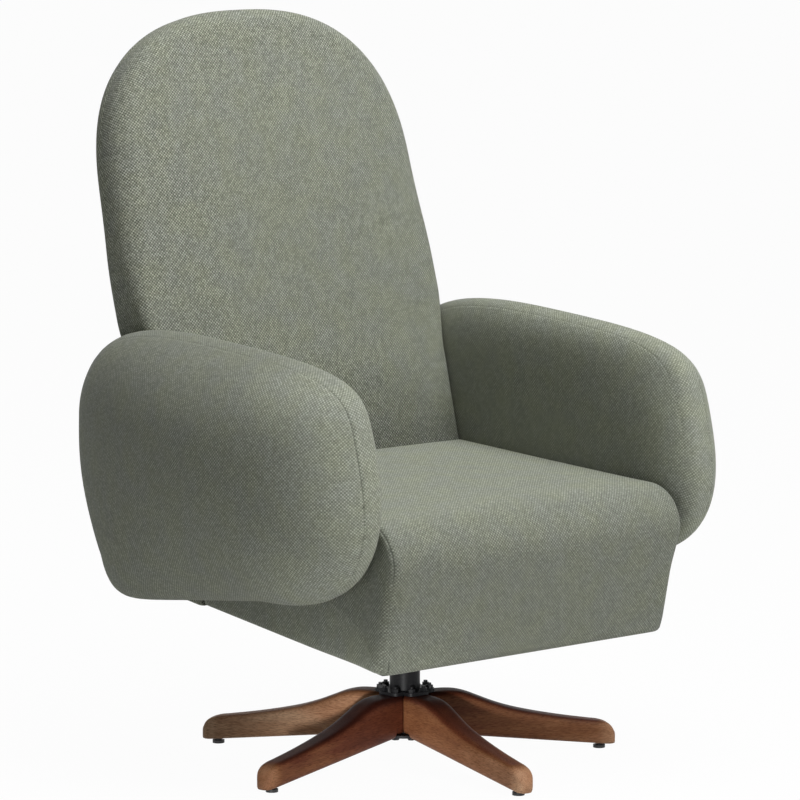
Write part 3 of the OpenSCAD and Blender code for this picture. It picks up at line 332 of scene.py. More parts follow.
def arm_pad(name, side):
    """One arm: inner panel, boxing band round the rim and outer panel, with a seam at
    each side of the band. Side -1 mirrors it to the left."""
    lats = np.radians(np.linspace(-88.5, 88.5, 1500))
    path = arm_surface(np.full_like(lats, ARM_ROWS_TURN), lats)
    rows = even_rows((lats, path), ARM_ROW_STEP, ARM_SEAMS)
    dense = np.linspace(0, 2 * np.pi, 3000)
    rim = arm_surface(dense, np.zeros_like(dense))
    turns = even_rows((dense, rim), ARM_COLUMN_STEP)[:-1]
    grid = arm_surface(turns[None, :], rows[:, None])
    normal = grid_normals(grid)
    along = lengths_along(grid)
    seam_rows = [int(np.argmin(np.abs(rows - s))) for s in ARM_SEAMS]
    column = np.arange(len(turns))
    pucker = 1 + 0.35 * np.sin(column * 1.9) * np.sin(column * 0.37)
    lift = cloth_wrinkle(grid, 0.9, 1.3)
    front = facing(turns, 180, 0.60, 0.28)
    stitch = np.maximum(0, np.sin(column * 0.83) + 0.5 * np.sin(column * 0.31)) ** 2
    low_front = facing(turns, 214, 0.5, 0.4)
    past_seam = along - along[seam_rows[1]]
    beside = hump(past_seam - 3, 6)
    lift = lift - STITCH_DEPTH * beside * (stitch * low_front)[None, :]
    tucked = np.zeros(len(turns))
    for degrees in ARM_TUCKS:
        tucked[int(np.argmin(np.abs(turns - math.radians(degrees))))] = 1
    tuck = hump(past_seam - 1, 4.5) * tucked[None, :]
    lift = lift - TUCK_DEPTH * tuck
    for row, depth in zip(seam_rows, (0.25, 0.35 + 0.65 * front)):
        lift = lift + seam_dip(along - along[row], *ARM_SEAM) * pucker[None, :] * depth
    grid = grid + normal * lift[..., None]
    grid[..., 0] = np.maximum(grid[..., 0], ARM_IN)
    centre_a = np.array([ARM_IN, *ARM_MID])
    out = CHAIR_HALF - ARM_RIM
    centre_b = np.array([CHAIR_HALF, ARM_MID[0] - ARM_TOE_IN * out, ARM_MID[1] - ARM_DROP * out])

    def face_cloth(centre, run):
        ray = grid[..., 1:] - centre[1:]
        ray = ray / np.maximum(np.linalg.norm(ray, axis=2, keepdims=True), 1e-6)
        return centre[1:] + ray * run[..., None]

    round_rim = lengths_around(grid[int(np.argmin(np.abs(rows)))])
    inner = wrapped(face_cloth(centre_a, along + np.linalg.norm(grid[0] - centre_a, axis=1)))
    outer = wrapped(face_cloth(centre_b, along[-1] - along
                               + np.linalg.norm(grid[-1] - centre_b, axis=1)))
    band = joined(round_rim, wrapped(along - along[seam_rows[0]]))
    strips = panels_to_strips([inner, band, outer], [0, seam_rows[0], seam_rows[1]])
    mirror = np.array([side, 1, 1])
    # Painted light and shade: lighter at the front beside the outer seam, on the rim and on
    # the inner roll; darker on the inner face and in the tucks; over the top, lighter on the
    # right arm and darker on the left. A dark line runs along the outer seam.
    faces_front = facing(turns, 186, 0.1, 0.7)[None, :]
    on_band = hump(rows - math.radians(27), 0.40)[:, None]
    on_rim = hump(rows - math.radians(-4), 0.5)[:, None]
    inside = smooth_step((-rows - 0.6) / 0.6)[:, None]
    over_top = smooth_step((np.sin(turns) - 0.55) / 0.4)[None, :]
    inner_roll = hump(rows + 0.55, 0.4)[:, None] * facing(turns, 140, 0.1, 0.5)[None, :]
    painted_light_and_seams = (faces_front * (0.36 * on_band + 0.14 * on_rim) - 0.19 * inside + 0.22 * inner_roll
           + (0.10 if side > 0 else -0.12) * over_top * on_rim - 0.3 * tuck)
    upper = front * (1 - 0.75 * facing(turns, 222, 0.75, 0.2))
    painted_light_and_seams = painted_light_and_seams - 0.45 * upper[None, :] * hump(past_seam, 0.9)
    return skin_piece(name, grid * mirror, centre_a * mirror, centre_b * mirror, strips,
                      (centre_a[1:], centre_b[1:]), painted_light_and_seams)


# Seat

def under_z(y):
    return UNDER_H + y * UNDER_TILT


def back_face_y(z):
    return BACK_Y - GAP + (z - SEAT_REAR_H) * math.tan(RECLINE)


def seat_corners():
    """Sharp corners of the seat's side outline as [y, z]: rear top, front top, front
    foot and rear foot."""
    t, s = math.tan(SEAT_LEAN), math.tan(SEAT_PITCH)
    foot = under_z(-SEAT_FRONT) + COVER_T
    y1 = (-SEAT_FRONT + (foot - SEAT_REAR_H + BACK_Y * s) * t) / (1 + s * t)
    tan_back = math.tan(RECLINE)
    y3 = (BACK_Y - GAP + (UNDER_H + COVER_T - SEAT_REAR_H) * tan_back) / (1 - UNDER_TILT * tan_back)
    return np.array([[back_face_y(SEAT_REAR_H), SEAT_REAR_H],
                     [y1, SEAT_REAR_H + (y1 - BACK_Y) * s],
                     [-SEAT_FRONT, foot], [y3, under_z(y3) + COVER_T]])


SEAT_EDGE_R = 11.0
SEAT_LOW_EDGE_R = 26.0
SEAT_CROWN, SEAT_FRONT_CROWN = 9.0, 5.0
SEAT_FRONT_FLARE = 6.0
SEAT_TUCK = 0.28
TUCK_R, TUCK_FRONT_R = 18.0, 30.0
SEAT_RADII = (7.0, 62.0, 14.0, 1.4)
SEAT_ARCS = (8, 22, 10, 3)
SEAT_EDGES = (76, 28, 50, 30)


def seat_outline(inset):
    """The seat's side outline drawn in by each inset: arcs round the corners, straight
    edges between. Gives points and normals as arrays [inset, column, 2]."""
    corners = seat_corners()
    d = np.asarray(inset)[:, None]
    least = SEAT_RADII[-1] / 2
    points, normals = [], []
    for i in range(4):
        v, before, after = corners[i], corners[i - 1], corners[(i + 1) % 4]
        e0 = (v - before) / np.linalg.norm(v - before)
        e1 = (after - v) / np.linalg.norm(after - v)
        far = corners[(i + 2) % 4]
        e2 = (far - after) / np.linalg.norm(far - after)
        n0, n1, n2 = (np.array([e[1], -e[0]]) for e in (e0, e1, e2))
        r = np.maximum(SEAT_RADII[i] - d, least)
        r2 = np.maximum(SEAT_RADII[(i + 1) % 4] - d, least)
        c = v - (d + r) * (n0 + n1) / (1 + n0 @ n1)
        c2 = after - (d + r2) * (n1 + n2) / (1 + n1 @ n2)
        a0 = math.atan2(n0[1], n0[0])
        turn = math.acos(min(1.0, n0 @ n1)) * np.arange(SEAT_ARCS[i] + 1) / SEAT_ARCS[i]
        ray = np.stack([np.cos(a0 + turn), np.sin(a0 + turn)], -1)
        points.append(c[:, None, :] + r[:, None, :] * ray[None])
        normals.append(np.broadcast_to(ray[None], points[-1].shape))
        s = (np.arange(1, SEAT_EDGES[i]) / SEAT_EDGES[i])[None, :, None]
        a, b = (c + r * n1)[:, None, :], (c2 + r2 * n1)[:, None, :]
        points.append((1 - s) * a + s * b)
        normals.append(np.broadcast_to(n1, points[-1].shape))
    return np.concatenate(points, 1), np.concatenate(normals, 1)


def seat_cavity(flat):
    """The hollow under the seat, for the bottom edge's columns: along the foot, up the
    front rail, under the springs and down behind the rear face."""
    start, end = flat[0], flat[-1]
    rail = RAIL_FRONT_Y - GAP
    top_y = back_face_y(CAVITY_TOP) - 1.5
    path = np.array([start, [rail, under_z(rail) + COVER_T], [rail, CAVITY_TOP],
                     [top_y, CAVITY_TOP], end - np.array([1.5, 0]), end])
    return evenly_along(path, len(flat))


def round_corner(points, x, low):
    """The seat's upright front corners rounded further towards the foot.

    With a and b the shares by which a point lies past the centre of a circle of radius r
    in the corner, the edge's own rounding reaches rho in that direction. The point is
    scaled by 1 / rho, so the edge lands on the circle."""
    corners = seat_corners()
    lean = (corners[2][0] - corners[1][0]) / (corners[2][1] - corners[1][1])
    front = corners[1][0] + (points[..., 1] - corners[1][1]) * lean
    r = SEAT_EDGE_R + (SEAT_LOW_EDGE_R - SEAT_EDGE_R) * smooth_step((low - 0.32) / 0.4)
    a = np.maximum(0, r - (SEAT_W / 2 - GAP / 2 - np.abs(x)[:, None])) / r
    b = np.maximum(0, r - (points[..., 0] - front)) / r
    length = np.maximum(np.hypot(a, b), 1e-9)
    c, s = a / length, b / length
    q = 1 - SEAT_EDGE_R / r
    square = 1 / np.maximum(np.maximum(c, s), 1e-9)
    rounded = q * (c + s) + np.sqrt(np.maximum(0, (q * (c + s)) ** 2 - 2 * q ** 2 + (1 - q) ** 2))
    rho = np.where(np.minimum(c, s) * square > q, rounded, square)
    inside = (a > 0) & (b > 0)
    return (np.where(inside, (a - a / rho) * r, 0), np.where(inside, (b - b / rho) * r, 0))


def seat_pad():
    """The seat: one outline carried across, crowned over the top and the front, with
    rounded sides that end in flat side panels, and hollow underneath."""
    half = SEAT_W / 2 - GAP / 2
    arc = np.radians([0, 8, 16, 23, 29, 34, 38, 41.5, 45, 48.5, 52, 56, 61, 67, 74, 82, 90])
    insets = [*np.linspace(60, SEAT_EDGE_R + 7, 7), SEAT_EDGE_R + 3,
              *(SEAT_EDGE_R * (1 - np.sin(arc)))]
    xs = [*np.full(8, half), *(half - SEAT_EDGE_R + SEAT_EDGE_R * np.cos(arc))]
    wall = FRAME_X + GAP
    main = np.linspace(-wall, wall, 106)
    x = np.array([-v for v in xs] + [-wall - 0.02] + list(main) + [wall + 0.02] + xs[::-1])
    d = np.array(insets + [0] * (len(main) + 2) + insets[::-1])
    side = len(xs)
    points, normals = seat_outline(d)
    y0, y1 = seat_corners()[1][0], BACK_Y
    gx = np.clip(1 - (x / (SEAT_W / 2)) ** 2, 0, 1)[:, None]
    gy = np.maximum(0, 1 - ((points[..., 0] - (y0 + y1) / 2) / ((y1 - y0) / 2)) ** 4)
    gz = np.clip((points[..., 1] - UNDER_H) / (SEAT_REAR_H - UNDER_H), 0, 1)
    push_y = -SEAT_FRONT_CROWN * gx * np.maximum(0, -normals[..., 0]) * np.sin(np.pi * gz)
    push_z = SEAT_CROWN * gx * gy * np.maximum(0, normals[..., 1])
    low = (SEAT_REAR_H - points[..., 1]) / (SEAT_REAR_H - UNDER_H)
    fore = smooth_step((-points[..., 0] - 190) / 100)
    k = 1 + (SEAT_FRONT_FLARE * fore - low) / (SEAT_W / 2)
    first = sum(SEAT_ARCS[:3]) + 3 + sum(SEAT_EDGES[:2]) - 2 - 1
    last = first + SEAT_EDGES[2] + 1
    hollow = np.abs(x) <= wall
    flat = points[side + 2, first:last]
    cavity = seat_cavity(flat)
    fore_foot = smooth_step((-points[..., 0] - 238) / 22)
    tuck_r = TUCK_R + (TUCK_FRONT_R - TUCK_R) * fore_foot
    over = tuck_r - np.clip(points[..., 1] - under_z(points[..., 0]) - COVER_T, 0, tuck_r)
    tuck = (tuck_r - np.sqrt(tuck_r ** 2 - over ** 2)) * smooth_step((-points[..., 0] - 90) / 120)
    in_x, in_y = round_corner(points, x, low)
    column = np.arange(points.shape[1])[None, :]
    outside = ~(hollow[:, None] & (column >= first) & (column < last))
    drawn_in = np.sign(x)[:, None] * (SEAT_TUCK * tuck * ~hollow[:, None] + in_x * outside)
    grid = np.stack([x[:, None] * k - drawn_in, points[..., 0] + push_y + in_y,
                     points[..., 1] + push_z], -1)
    grid[np.ix_(hollow, np.arange(first, last), [1])] = cavity[None, :, :1]
    grid[np.ix_(hollow, np.arange(first, last), [2])] = cavity[None, :, 1:]
    top = (normals[..., 1] > 0.2) | (normals[..., 0] < -0.4)
    lift = cloth_wrinkle(grid, 0.8, 0.4) * top
    edge_row = (side - 9, len(x) - side + 8)
    run = running_length(np.stack([x, d], -1))
    seam_share = 1 - 0.9 * smooth_step((low - 0.34) / 0.22)
    for row in edge_row:
        distance = (run - run[row])[:, None]
        lift = lift + seam_dip(distance, *SEAT_SEAM) * (normals[..., 1] > -0.9) * seam_share
    out = np.stack([np.zeros_like(lift), normals[..., 0], normals[..., 1]], -1)
    tilt = np.clip(d / SEAT_EDGE_R, 0, 1)[:, None]
    out[..., 0] = np.sign(x)[:, None] * tilt
    out[..., 1:] *= np.sqrt(1 - 0.999 * tilt ** 2)[..., None]
    grid = grid + out * lift[..., None]
    grid[..., 0] = np.clip(grid[..., 0], -SEAT_W / 2 - 6, SEAT_W / 2 + 6)
    around = lengths_around(points[side + 2])
    main_uv = joined(x[:, None], around)
    side_uv = wrapped(grid[..., 1:])
    strips = panels_to_strips([side_uv, main_uv, side_uv], [0, edge_row[0], edge_row[1]])
    middle = np.array([(y0 + y1) / 2, (SEAT_REAR_H + UNDER_H) / 2])
    poles = [np.array([s * (half - 0.5), *middle]) for s in (-1, 1)]
    # Painted light and shade: the top lighter, the front darker and the nose darker again; then a dark
    # line along each side seam, fading towards the foot
    painted_light_and_seams = (0.12 * np.maximum(0, normals[..., 1]) - 0.11 * smooth_step(-1.3 * normals[..., 0])
           - 0.06 * np.maximum(0, -normals[..., 0]) * np.maximum(0, normals[..., 1]))
    for row in edge_row:
        painted_light_and_seams = painted_light_and_seams - 0.4 * hump(run - run[row], 0.9)[:, None] * seam_share
    return skin_piece("seat_upholstery", grid, *poles, strips, (middle, middle), painted_light_and_seams)


# Back

BACK_SIDE_LEAN = math.tan(math.radians(2.8))
FOOT_STEPS = 60
FRONT_IN, FRONT_DEEP = 44.0, 42.0
REAR_IN, REAR_DEEP = 30.0, 28.0
PANEL_INSET = 34.0
RECESS_DEEP = 70.5
BOARD_DEEP, PANEL_SIDE_DEEP, PANEL_TOP_DEEP = 71.0, 76.5, 81.0
PANEL_EDGE_R = 4.5
PANEL_CROWN = 6.0
SIDE_DEPTHS = (42.2, 42.4, 42.6, 42.8, 43, 44.5, 45.8, 46.6, 47.3, 48, 48.7, 49.4, 50.2, 51)
SIDE_SEAM = 9


def back_half_at(h):
    """Half-width of the back at a height up the recline: the seat's width at the foot,
    a little more above the arms, leaning in, and a superellipse arch on top."""
    a = np.maximum(0, (h - BACK_TOP + BACK_ARCH) / BACK_ARCH)
    full = BACK_HALF + (BACK_TOP - BACK_ARCH - h) * BACK_SIDE_LEAN
    swell = 0.55 * smooth_step((h - 134) / 106) + 0.45 * smooth_step((h - 190) / 150)
    low = SEAT_W / 2 - 0.5
    return (low + (full - low) * swell) * np.maximum(0, 1 - a ** BACK_ARCH_N) ** (1 / BACK_ARCH_N)


def back_outline():
    """Outline of the back as [x, h] and its outward normals: up the right side, over the
    arch, down the left side and along the foot."""
    dense = np.linspace(0, 1, 4000)
    h_side = -BACK_FOOT + (BACK_TOP - BACK_ARCH + BACK_FOOT) * np.minimum(1, dense * 2)
    a = np.pi / 2 * np.clip(dense * 2 - 1, 0, 1)
    h = np.where(dense < 0.5, h_side, BACK_TOP - BACK_ARCH + BACK_ARCH * np.sin(a) ** (2 / BACK_ARCH_N))
    x = np.where(dense < 0.5, back_half_at(h_side),
                 (BACK_HALF + (BACK_TOP - BACK_ARCH - h) * BACK_SIDE_LEAN)
                 * np.maximum(0, np.cos(a)) ** (2 / BACK_ARCH_N))
    half = np.stack([x, h], -1)
    right = evenly_along(half, 190)
    right[-1] = [0, BACK_TOP]
    left = right[-2::-1] * [-1, 1]
    side = np.concatenate([right, left])
    tangent = np.gradient(side, axis=0)
    tangent /= np.linalg.norm(tangent, axis=1, keepdims=True)
    normal = np.stack([tangent[:, 1], -tangent[:, 0]], -1)
    normal[0] = [1, 0]
    normal[-1] = [-1, 0]
    return side, normal


def back_rings(inset, share, depth, crown, front_rows=None, rear_rows=None):
    """Rows of the back: the outline drawn in by inset, shrunk by share about the middle,
    at a depth, with the crown growing towards the middle and fading at the foot.

    The rounding of the front rows shrinks towards the foot, where the back fills the
    space between the arms, and over the arch. That of the rear rows does so a little."""
    side, normal = back_outline()
    inset, share, depth, crown = (np.asarray(v, float)[:, None] for v in (inset, share, depth, crown))
    if front_rows is not None:
        h = side[:, 1]
        ease = (0.13 + 0.87 * smooth_step((h - 110) / 330)) * (1 - 0.26 * np.maximum(0, normal[:, 1]))
        rear_ease = 0.5 + 0.5 * smooth_step((h - 150) / 250)
        foot_ease = np.full(FOOT_STEPS - 1, ease[0])
        inset = np.where(front_rows[:, None], inset * ease, np.where(rear_rows[:, None],
                                                                    inset * rear_ease, inset))
        ease = np.concatenate([ease, foot_ease])[None]
        rear_ease = np.concatenate([rear_ease, np.full(FOOT_STEPS - 1, rear_ease[0])])[None]
        between = FRONT_DEEP * ease + (depth - FRONT_DEEP) * (FRONT_DEEP + 1 - FRONT_DEEP * ease)
        depth = np.where(front_rows[:, None], depth * ease, np.where(
            rear_rows[:, None], BACK_T - (BACK_T - depth) * rear_ease,
            np.where((depth > FRONT_DEEP) & (depth < FRONT_DEEP + 1), between, depth)))
    p = side[None] - inset[..., None] * normal[None]
    s = (np.arange(1, FOOT_STEPS) / FOOT_STEPS)[None, :, None]
    foot = p[:, -1:] * (1 - s) + p[:, :1] * s
    p = np.concatenate([p, foot], 1)
    x = p[..., 0] * share
    h = BACK_MID + (p[..., 1] - BACK_MID) * share
    deep = depth - crown * (1 - np.abs(share) ** 3.2) * smooth_step((h - 45) / 90)
    return x, deep, h


def on_back(x, deep, h):
    """From the back's own frame (across, into the back, up the recline) to the chair's,
    cut off where the chair's sloping underside crosses it."""
    c, s = math.cos(RECLINE), math.sin(RECLINE)
    level = UNDER_H + COVER_T - SEAT_REAR_H + BACK_Y * UNDER_TILT
    cut = (level + deep * (s + c * UNDER_TILT)) / (c - s * UNDER_TILT)
    h = np.maximum(h, cut)
    return np.stack([x, BACK_Y + deep * c + h * s, SEAT_REAR_H - deep * s + h * c], -1)


def back_pad():
    """The back's cushion: crowned front, rounded front edge, flat sides, a seam ahead of
    the rear edge, the rear rim, and a recess that takes the closing panel."""
    quarter = np.radians(np.linspace(0, 90, 17))
    share = np.linspace(0.03, 1.0, 46)
    front = [(FRONT_IN, k, 0, 14) for k in share]
    edge = [(FRONT_IN * (1 - math.sin(a)), 1, FRONT_DEEP * (1 - math.cos(a)), 0)
            for a in quarter[1:]]
    sides = [(0, 1, t, 0) for t in SIDE_DEPTHS]
    rear = [(REAR_IN * (1 - math.cos(a)), 1, BACK_T - REAR_DEEP * (1 - math.sin(a)), 0)
            for a in quarter]
    rim = [(v, 1, BACK_T, 0) for v in (31, 32.5, 33.5, PANEL_INSET)]
    recess = [(PANEL_INSET + 0.2, 1, t, 0) for t in (78, 74, RECESS_DEEP)]
    floor = [(PANEL_INSET + 0.2, k, RECESS_DEEP, 0) for k in (0.95, 0.8, 0.6, 0.4, 0.2, 0.05)]
    rows = np.array(front + edge + sides + rear + rim + recess + floor)
    number = np.arange(len(rows))
    rear_start = len(front) + len(edge) + len(sides)
    x, deep, h = back_rings(*rows.T, number < len(front) + len(edge),
                            (number >= rear_start) & (number < rear_start + len(rear)))
    seam = len(front) + len(edge) + SIDE_SEAM
    profile = running_length(rows[:, [0, 2]])
    soft = rows[:, 2] < BACK_T - REAR_DEEP / 2
    lift = cloth_wrinkle(np.stack([x, deep, h], -1), 0.9, 2.2) * soft[:, None]
    lift = lift + (seam_dip(profile - profile[seam], *BACK_SEAM) * (rows[:, 1] == 1))[:, None]
    normal = np.concatenate([back_outline()[1], np.tile([0.0, -1.0], (FOOT_STEPS - 1, 1))])
    lean = np.clip(1 - rows[:, 0] / FRONT_IN, 0, 1)[:, None]
    lean = np.where(rows[:, 2:3] > 44, np.clip(1 - rows[:, 0:1] / REAR_IN, 0, 1), lean)
    x = x + lift * lean * normal[None, :, 0]
    h = h + lift * lean * normal[None, :, 1]
    deep = deep - np.sqrt(1 - lean ** 2) * lift * np.where(rows[:, 2:3] > 44, -1, 1)
    grid = on_back(x, deep, h)
    start = len(front)
    border = np.stack([x[start - 1], h[start - 1]], -1)
    along = lengths_along(grid)
    spread = np.maximum(0, along - along[start - 1])[..., None]
    flat = np.where((np.arange(len(rows)) < start)[:, None, None], np.stack([x, h], -1),
                    border[None] + normal[None] * spread)
    around = lengths_around(grid[seam])
    rim_uv = joined(around, wrapped(along))
    floor_uv = wrapped(np.stack([x, h], -1))
    panel = start + len(edge) + len(sides) + len(rear) + len(rim)
    strips = panels_to_strips([wrapped(flat), rim_uv, floor_uv], [0, seam, panel])
    poles = [on_back(0, t, BACK_MID) for t in (-14, RECESS_DEEP)]
    # Painted shade: the front darker towards its foot, where it meets the seat
    faces_front = (number < len(front) + 6)[:, None]
    painted_light_and_seams = -0.42 * faces_front * (1 - smooth_step((h - 8) / 100))
    return skin_piece("back_upholstery", grid, *poles, strips, ((0, BACK_MID), (0, BACK_MID)), painted_light_and_seams)


def back_closing_panel():
    """The panel that closes the back's rear: a board in the recess with a crowned, sewn
    cover and a soft rounded edge."""
    roll = np.radians(np.linspace(0, 90, 6))
    inset = PANEL_INSET + 0.9
    under = [(inset + 2, k, BOARD_DEEP, 0) for k in (0.05, 0.3, 0.6, 0.9, 1)]
    wall = [(inset + 0.3, 1, 71.6, 0), (inset, 1, 73, 0), (inset, 1, 75.5, 0)]
    edge = [(inset + PANEL_EDGE_R * (1 - math.cos(a)), 1, PANEL_SIDE_DEEP + PANEL_EDGE_R * math.sin(a), 0)
            for a in roll]
    top = [(inset + PANEL_EDGE_R, k, PANEL_TOP_DEEP, -PANEL_CROWN) for k in np.linspace(0.99, 0.03, 36)]
    rows = np.array(under + wall + edge + top)
    x, deep, h = back_rings(*rows.T)
    on_top = rows[:, 2] > PANEL_TOP_DEEP - 0.1
    deep = deep + cloth_wrinkle(np.stack([x, deep, h], -1), 0.6, 3.1) * on_top[:, None]
    grid = on_back(x, deep, h)
    uv = wrapped(np.stack([x, h], -1))
    poles = [on_back(0, t, BACK_MID) for t in (BOARD_DEEP, PANEL_TOP_DEEP + PANEL_CROWN)]
    return skin_piece("rear_closing_panel", grid, *poles, panels_to_strips([uv], [0]),
                      ((0, BACK_MID), (0, BACK_MID)))


# Legs

LEG_STATIONS = np.array([
    [0.00, 1.00, 1.00], [0.12, 1.00, 1.00], [0.19, 1.01, 1.00], [0.24, 0.99, 0.99],
    [0.29, 0.925, 0.97], [0.35, 0.80, 0.94], [0.42, 0.65, 0.91], [0.50, 0.51, 0.88],
    [0.59, 0.39, 0.85], [0.69, 0.28, 0.82], [0.79, 0.185, 0.79], [0.88, 0.11, 0.77],
    [0.935, 0.06, 0.76], [0.965, 0.00, 0.73], [0.985, -0.09, 0.64], [1.00, -0.22, 0.44]])
LEG_REACH = 322.0
LEG_TIP_H = 38.0
LEG_UNDER = 42.0
GLIDE_H = 7.0
GLIDE_CIRCLE = 300.0
LEG_HUB_HALF, LEG_TIP_HALF = 25.0, 15.5
LEG_TIP_WIDTH = 0.76
LEG_SQUARE = 4.5
MITRE_GAP, MITRE_ROUND = 0.12, 1.2
CLAMP_R = 46.5
COLUMN_R = 22.5
# Each leg's own starting tone, in the order of the legs
LEG_TONES = (0.44, 0.48, 0.79, 0.30, 0.49)
BOARD_APART = 170.0


def smooth_through(at, xs, ys):
    """A smooth curve through given points, with the slopes of their neighbours."""
    slope = np.gradient(ys, xs)
    i = np.clip(np.searchsorted(xs, at) - 1, 0, len(xs) - 2)
    w = xs[i + 1] - xs[i]
    t = (at - xs[i]) / w
    return ((1 + 2 * t) * (1 - t) ** 2 * ys[i] + t * (1 - t) ** 2 * w * slope[i]
            + t * t * (3 - 2 * t) * ys[i + 1] + t * t * (t - 1) * w * slope[i + 1])


def leg_piece(number):
    """One leg: rounded sections carried out from the hub, with two mitre faces that meet
    the neighbouring legs and a step under the hub for the clamp plate. Its tone starts
    from the leg's own, rises from hub to tip, most at the tip, and falls on the top short
    of the tip."""
    inner = (COLUMN_R + 0.4) / LEG_REACH
    pocket = CLAMP_R / LEG_REACH
    step = [pocket - 0.0006, pocket + 0.0006]
    share = np.unique([*np.linspace(inner, 0.97, 120), *step, *np.linspace(0.9715, 1.0, 16)])
    rise = smooth_through(share, LEG_STATIONS[:, 0], LEG_STATIONS[:, 1])
    wide = smooth_through(share, LEG_STATIONS[:, 0], LEG_STATIONS[:, 2])
    reach = share * LEG_REACH
    low = GLIDE_H + (LEG_UNDER - GLIDE_H) * (1 - reach / GLIDE_CIRCLE)
    low = low + np.maximum(0, -rise) * LEG_TIP_H * 0.18
    low = np.where(share < pocket, LEG_UNDER + 0.2, low)
    high = LEG_TIP_H + rise * (HUB_Z - LEG_TIP_H)
    half = wide * LEG_HUB_HALF * (1 - share) + wide / LEG_TIP_WIDTH * LEG_TIP_HALF * share
    turn = 2 * np.pi * (np.arange(56) + 0.5) / 56
    c, s = np.cos(turn), np.sin(turn)
    grow = (np.abs(c) ** LEG_SQUARE + np.abs(s) ** LEG_SQUARE) ** (-1 / LEG_SQUARE)
    w = half[:, None] * (c * grow)[None]
    z = ((low + high) / 2)[:, None] + ((high - low) / 2)[:, None] * (s * grow)[None]
    mitre = (reach * math.tan(math.pi / 5) - MITRE_GAP)[:, None]
    soft = MITRE_ROUND * (1 - np.abs(s * grow)[None] ** 12)
    w = np.clip(w, -mitre + MITRE_ROUND - soft, mitre - MITRE_ROUND + soft)
    r = np.broadcast_to(reach[:, None], w.shape)
    local = np.stack([r, w, z], -1)
    a = BASE_TURN + 2 * math.pi / 5 * number

    def place(p):
        return np.stack([p[..., 0] * math.cos(a) - p[..., 1] * math.sin(a),
                         p[..., 0] * math.sin(a) + p[..., 1] * math.cos(a), p[..., 2]], -1)

    ends = np.array([[reach[0], 0, (LEG_UNDER + HUB_Z) / 2],
                     [LEG_REACH + 2.5, 0, z[-1].mean()]])
    uv = wrapped(joined(r, lengths_around(local[20])[:-1]))
    piece = skin_piece(f"walnut_leg_{number + 1}", place(local), *place(ends),
                       panels_to_strips([uv], [0]), ((reach[0], 0), (LEG_REACH, 0)))
    piece.data.uv_layers[0].name = "grain_uv"
    along = np.concatenate([local.reshape(-1, 3), ends]) + [0, 0, BOARD_APART * number]
    point_values(piece.data, "grain", along * MM, "FLOAT_VECTOR", "vector")
    high_side = smooth_step((s * grow - 0.72) / 0.25)[None]
    out = smooth_step((share - 0.1) / 0.9)[:, None]
    tip = smooth_step((share - 0.9) / 0.08)[:, None]
    tone = LEG_TONES[number] + 0.16 * (out - 0.45) - 0.24 * high_side * (1 - tip) + 0.22 * tip
    ends_tone = [tone[0].mean(), tone[-1].mean()]
    point_values(piece.data, "tone", np.concatenate([tone.reshape(-1), ends_tone]))
    return piece


# Dust cover

COVER_FRONT, COVER_REAR, COVER_HALF = -243.0, 214.0, 257.0
EYE_X, EYE_Y = 31.5, 40.5
EYE_AREA_SHARE = 3.5
CLOTH_T = 0.4
CLOTH_SAG, CLOTH_PULL = 3.0, 0.5


def dust_cover_piece():
    """The cloth tacked under the seat: a thin sheet on the sloping underside, sagging a
    little between its tacked edges and the eye round the column. Gives the piece, its
    flat size and its area, which is that of the sheet less the eye."""
    turn = 2 * np.pi * np.arange(144) / 144
    share = np.concatenate([[0, 0.02, 0.05], np.linspace(0.1, 0.9, 26), [0.95, 0.98, 1.0]])
    share = share[:, None]
    c, s = np.cos(turn), np.sin(turn)
    eye = (np.abs(c / EYE_X) ** 3 + np.abs(s / EYE_Y) ** 3) ** (-1 / 3)
    mid_y = (COVER_FRONT + COVER_REAR) / 2
    box = (np.abs(c / COVER_HALF) ** 40 + np.abs(s / (COVER_REAR - mid_y)) ** 40) ** (-1 / 40)
    x = (1 - share) * (eye * c) + share * (box * c)
    y = (1 - share) * (eye * s) + share * (box * s + mid_y)
    sag = CLOTH_SAG * np.sin(np.pi * share) ** 0.8
    pull = CLOTH_PULL * np.sin(turn * 30)[None] * smooth_step((share - 0.75) / 0.25)
    z = under_z(y) + 1.2 - sag - pull
    rows = np.concatenate([np.stack([x, y, z], -1), np.stack([x, y, z - CLOTH_T], -1)[::-1]])
    n, cols = rows.shape[:2]
    i = (np.arange(n) * cols)[:, None]
    j = np.arange(cols)[None]
    k = (j + 1) % cols
    m = ((np.arange(n) + 1) % n * cols)[:, None]
    faces = np.stack([i + j, m + j, m + k, i + k], -1).reshape(-1, 4)
    piece = in_scene("dust_cloth", smooth_mesh("dust_cloth", rows.reshape(-1, 3), faces.tolist()))
    flat = np.array([2 * COVER_HALF, COVER_REAR - COVER_FRONT])
    area = (flat[0] * flat[1] - EYE_AREA_SHARE * EYE_X * EYE_Y) * MM * MM
    return piece, (float(flat[0] * MM), float(flat[1] * MM)), float(area)


# Rocker springs

SPRING_COIL_R = 12.0
SPRING_WIRE_R = 2.0
SPRING_TURNS = 4
SPRING_LEAD = 4.0


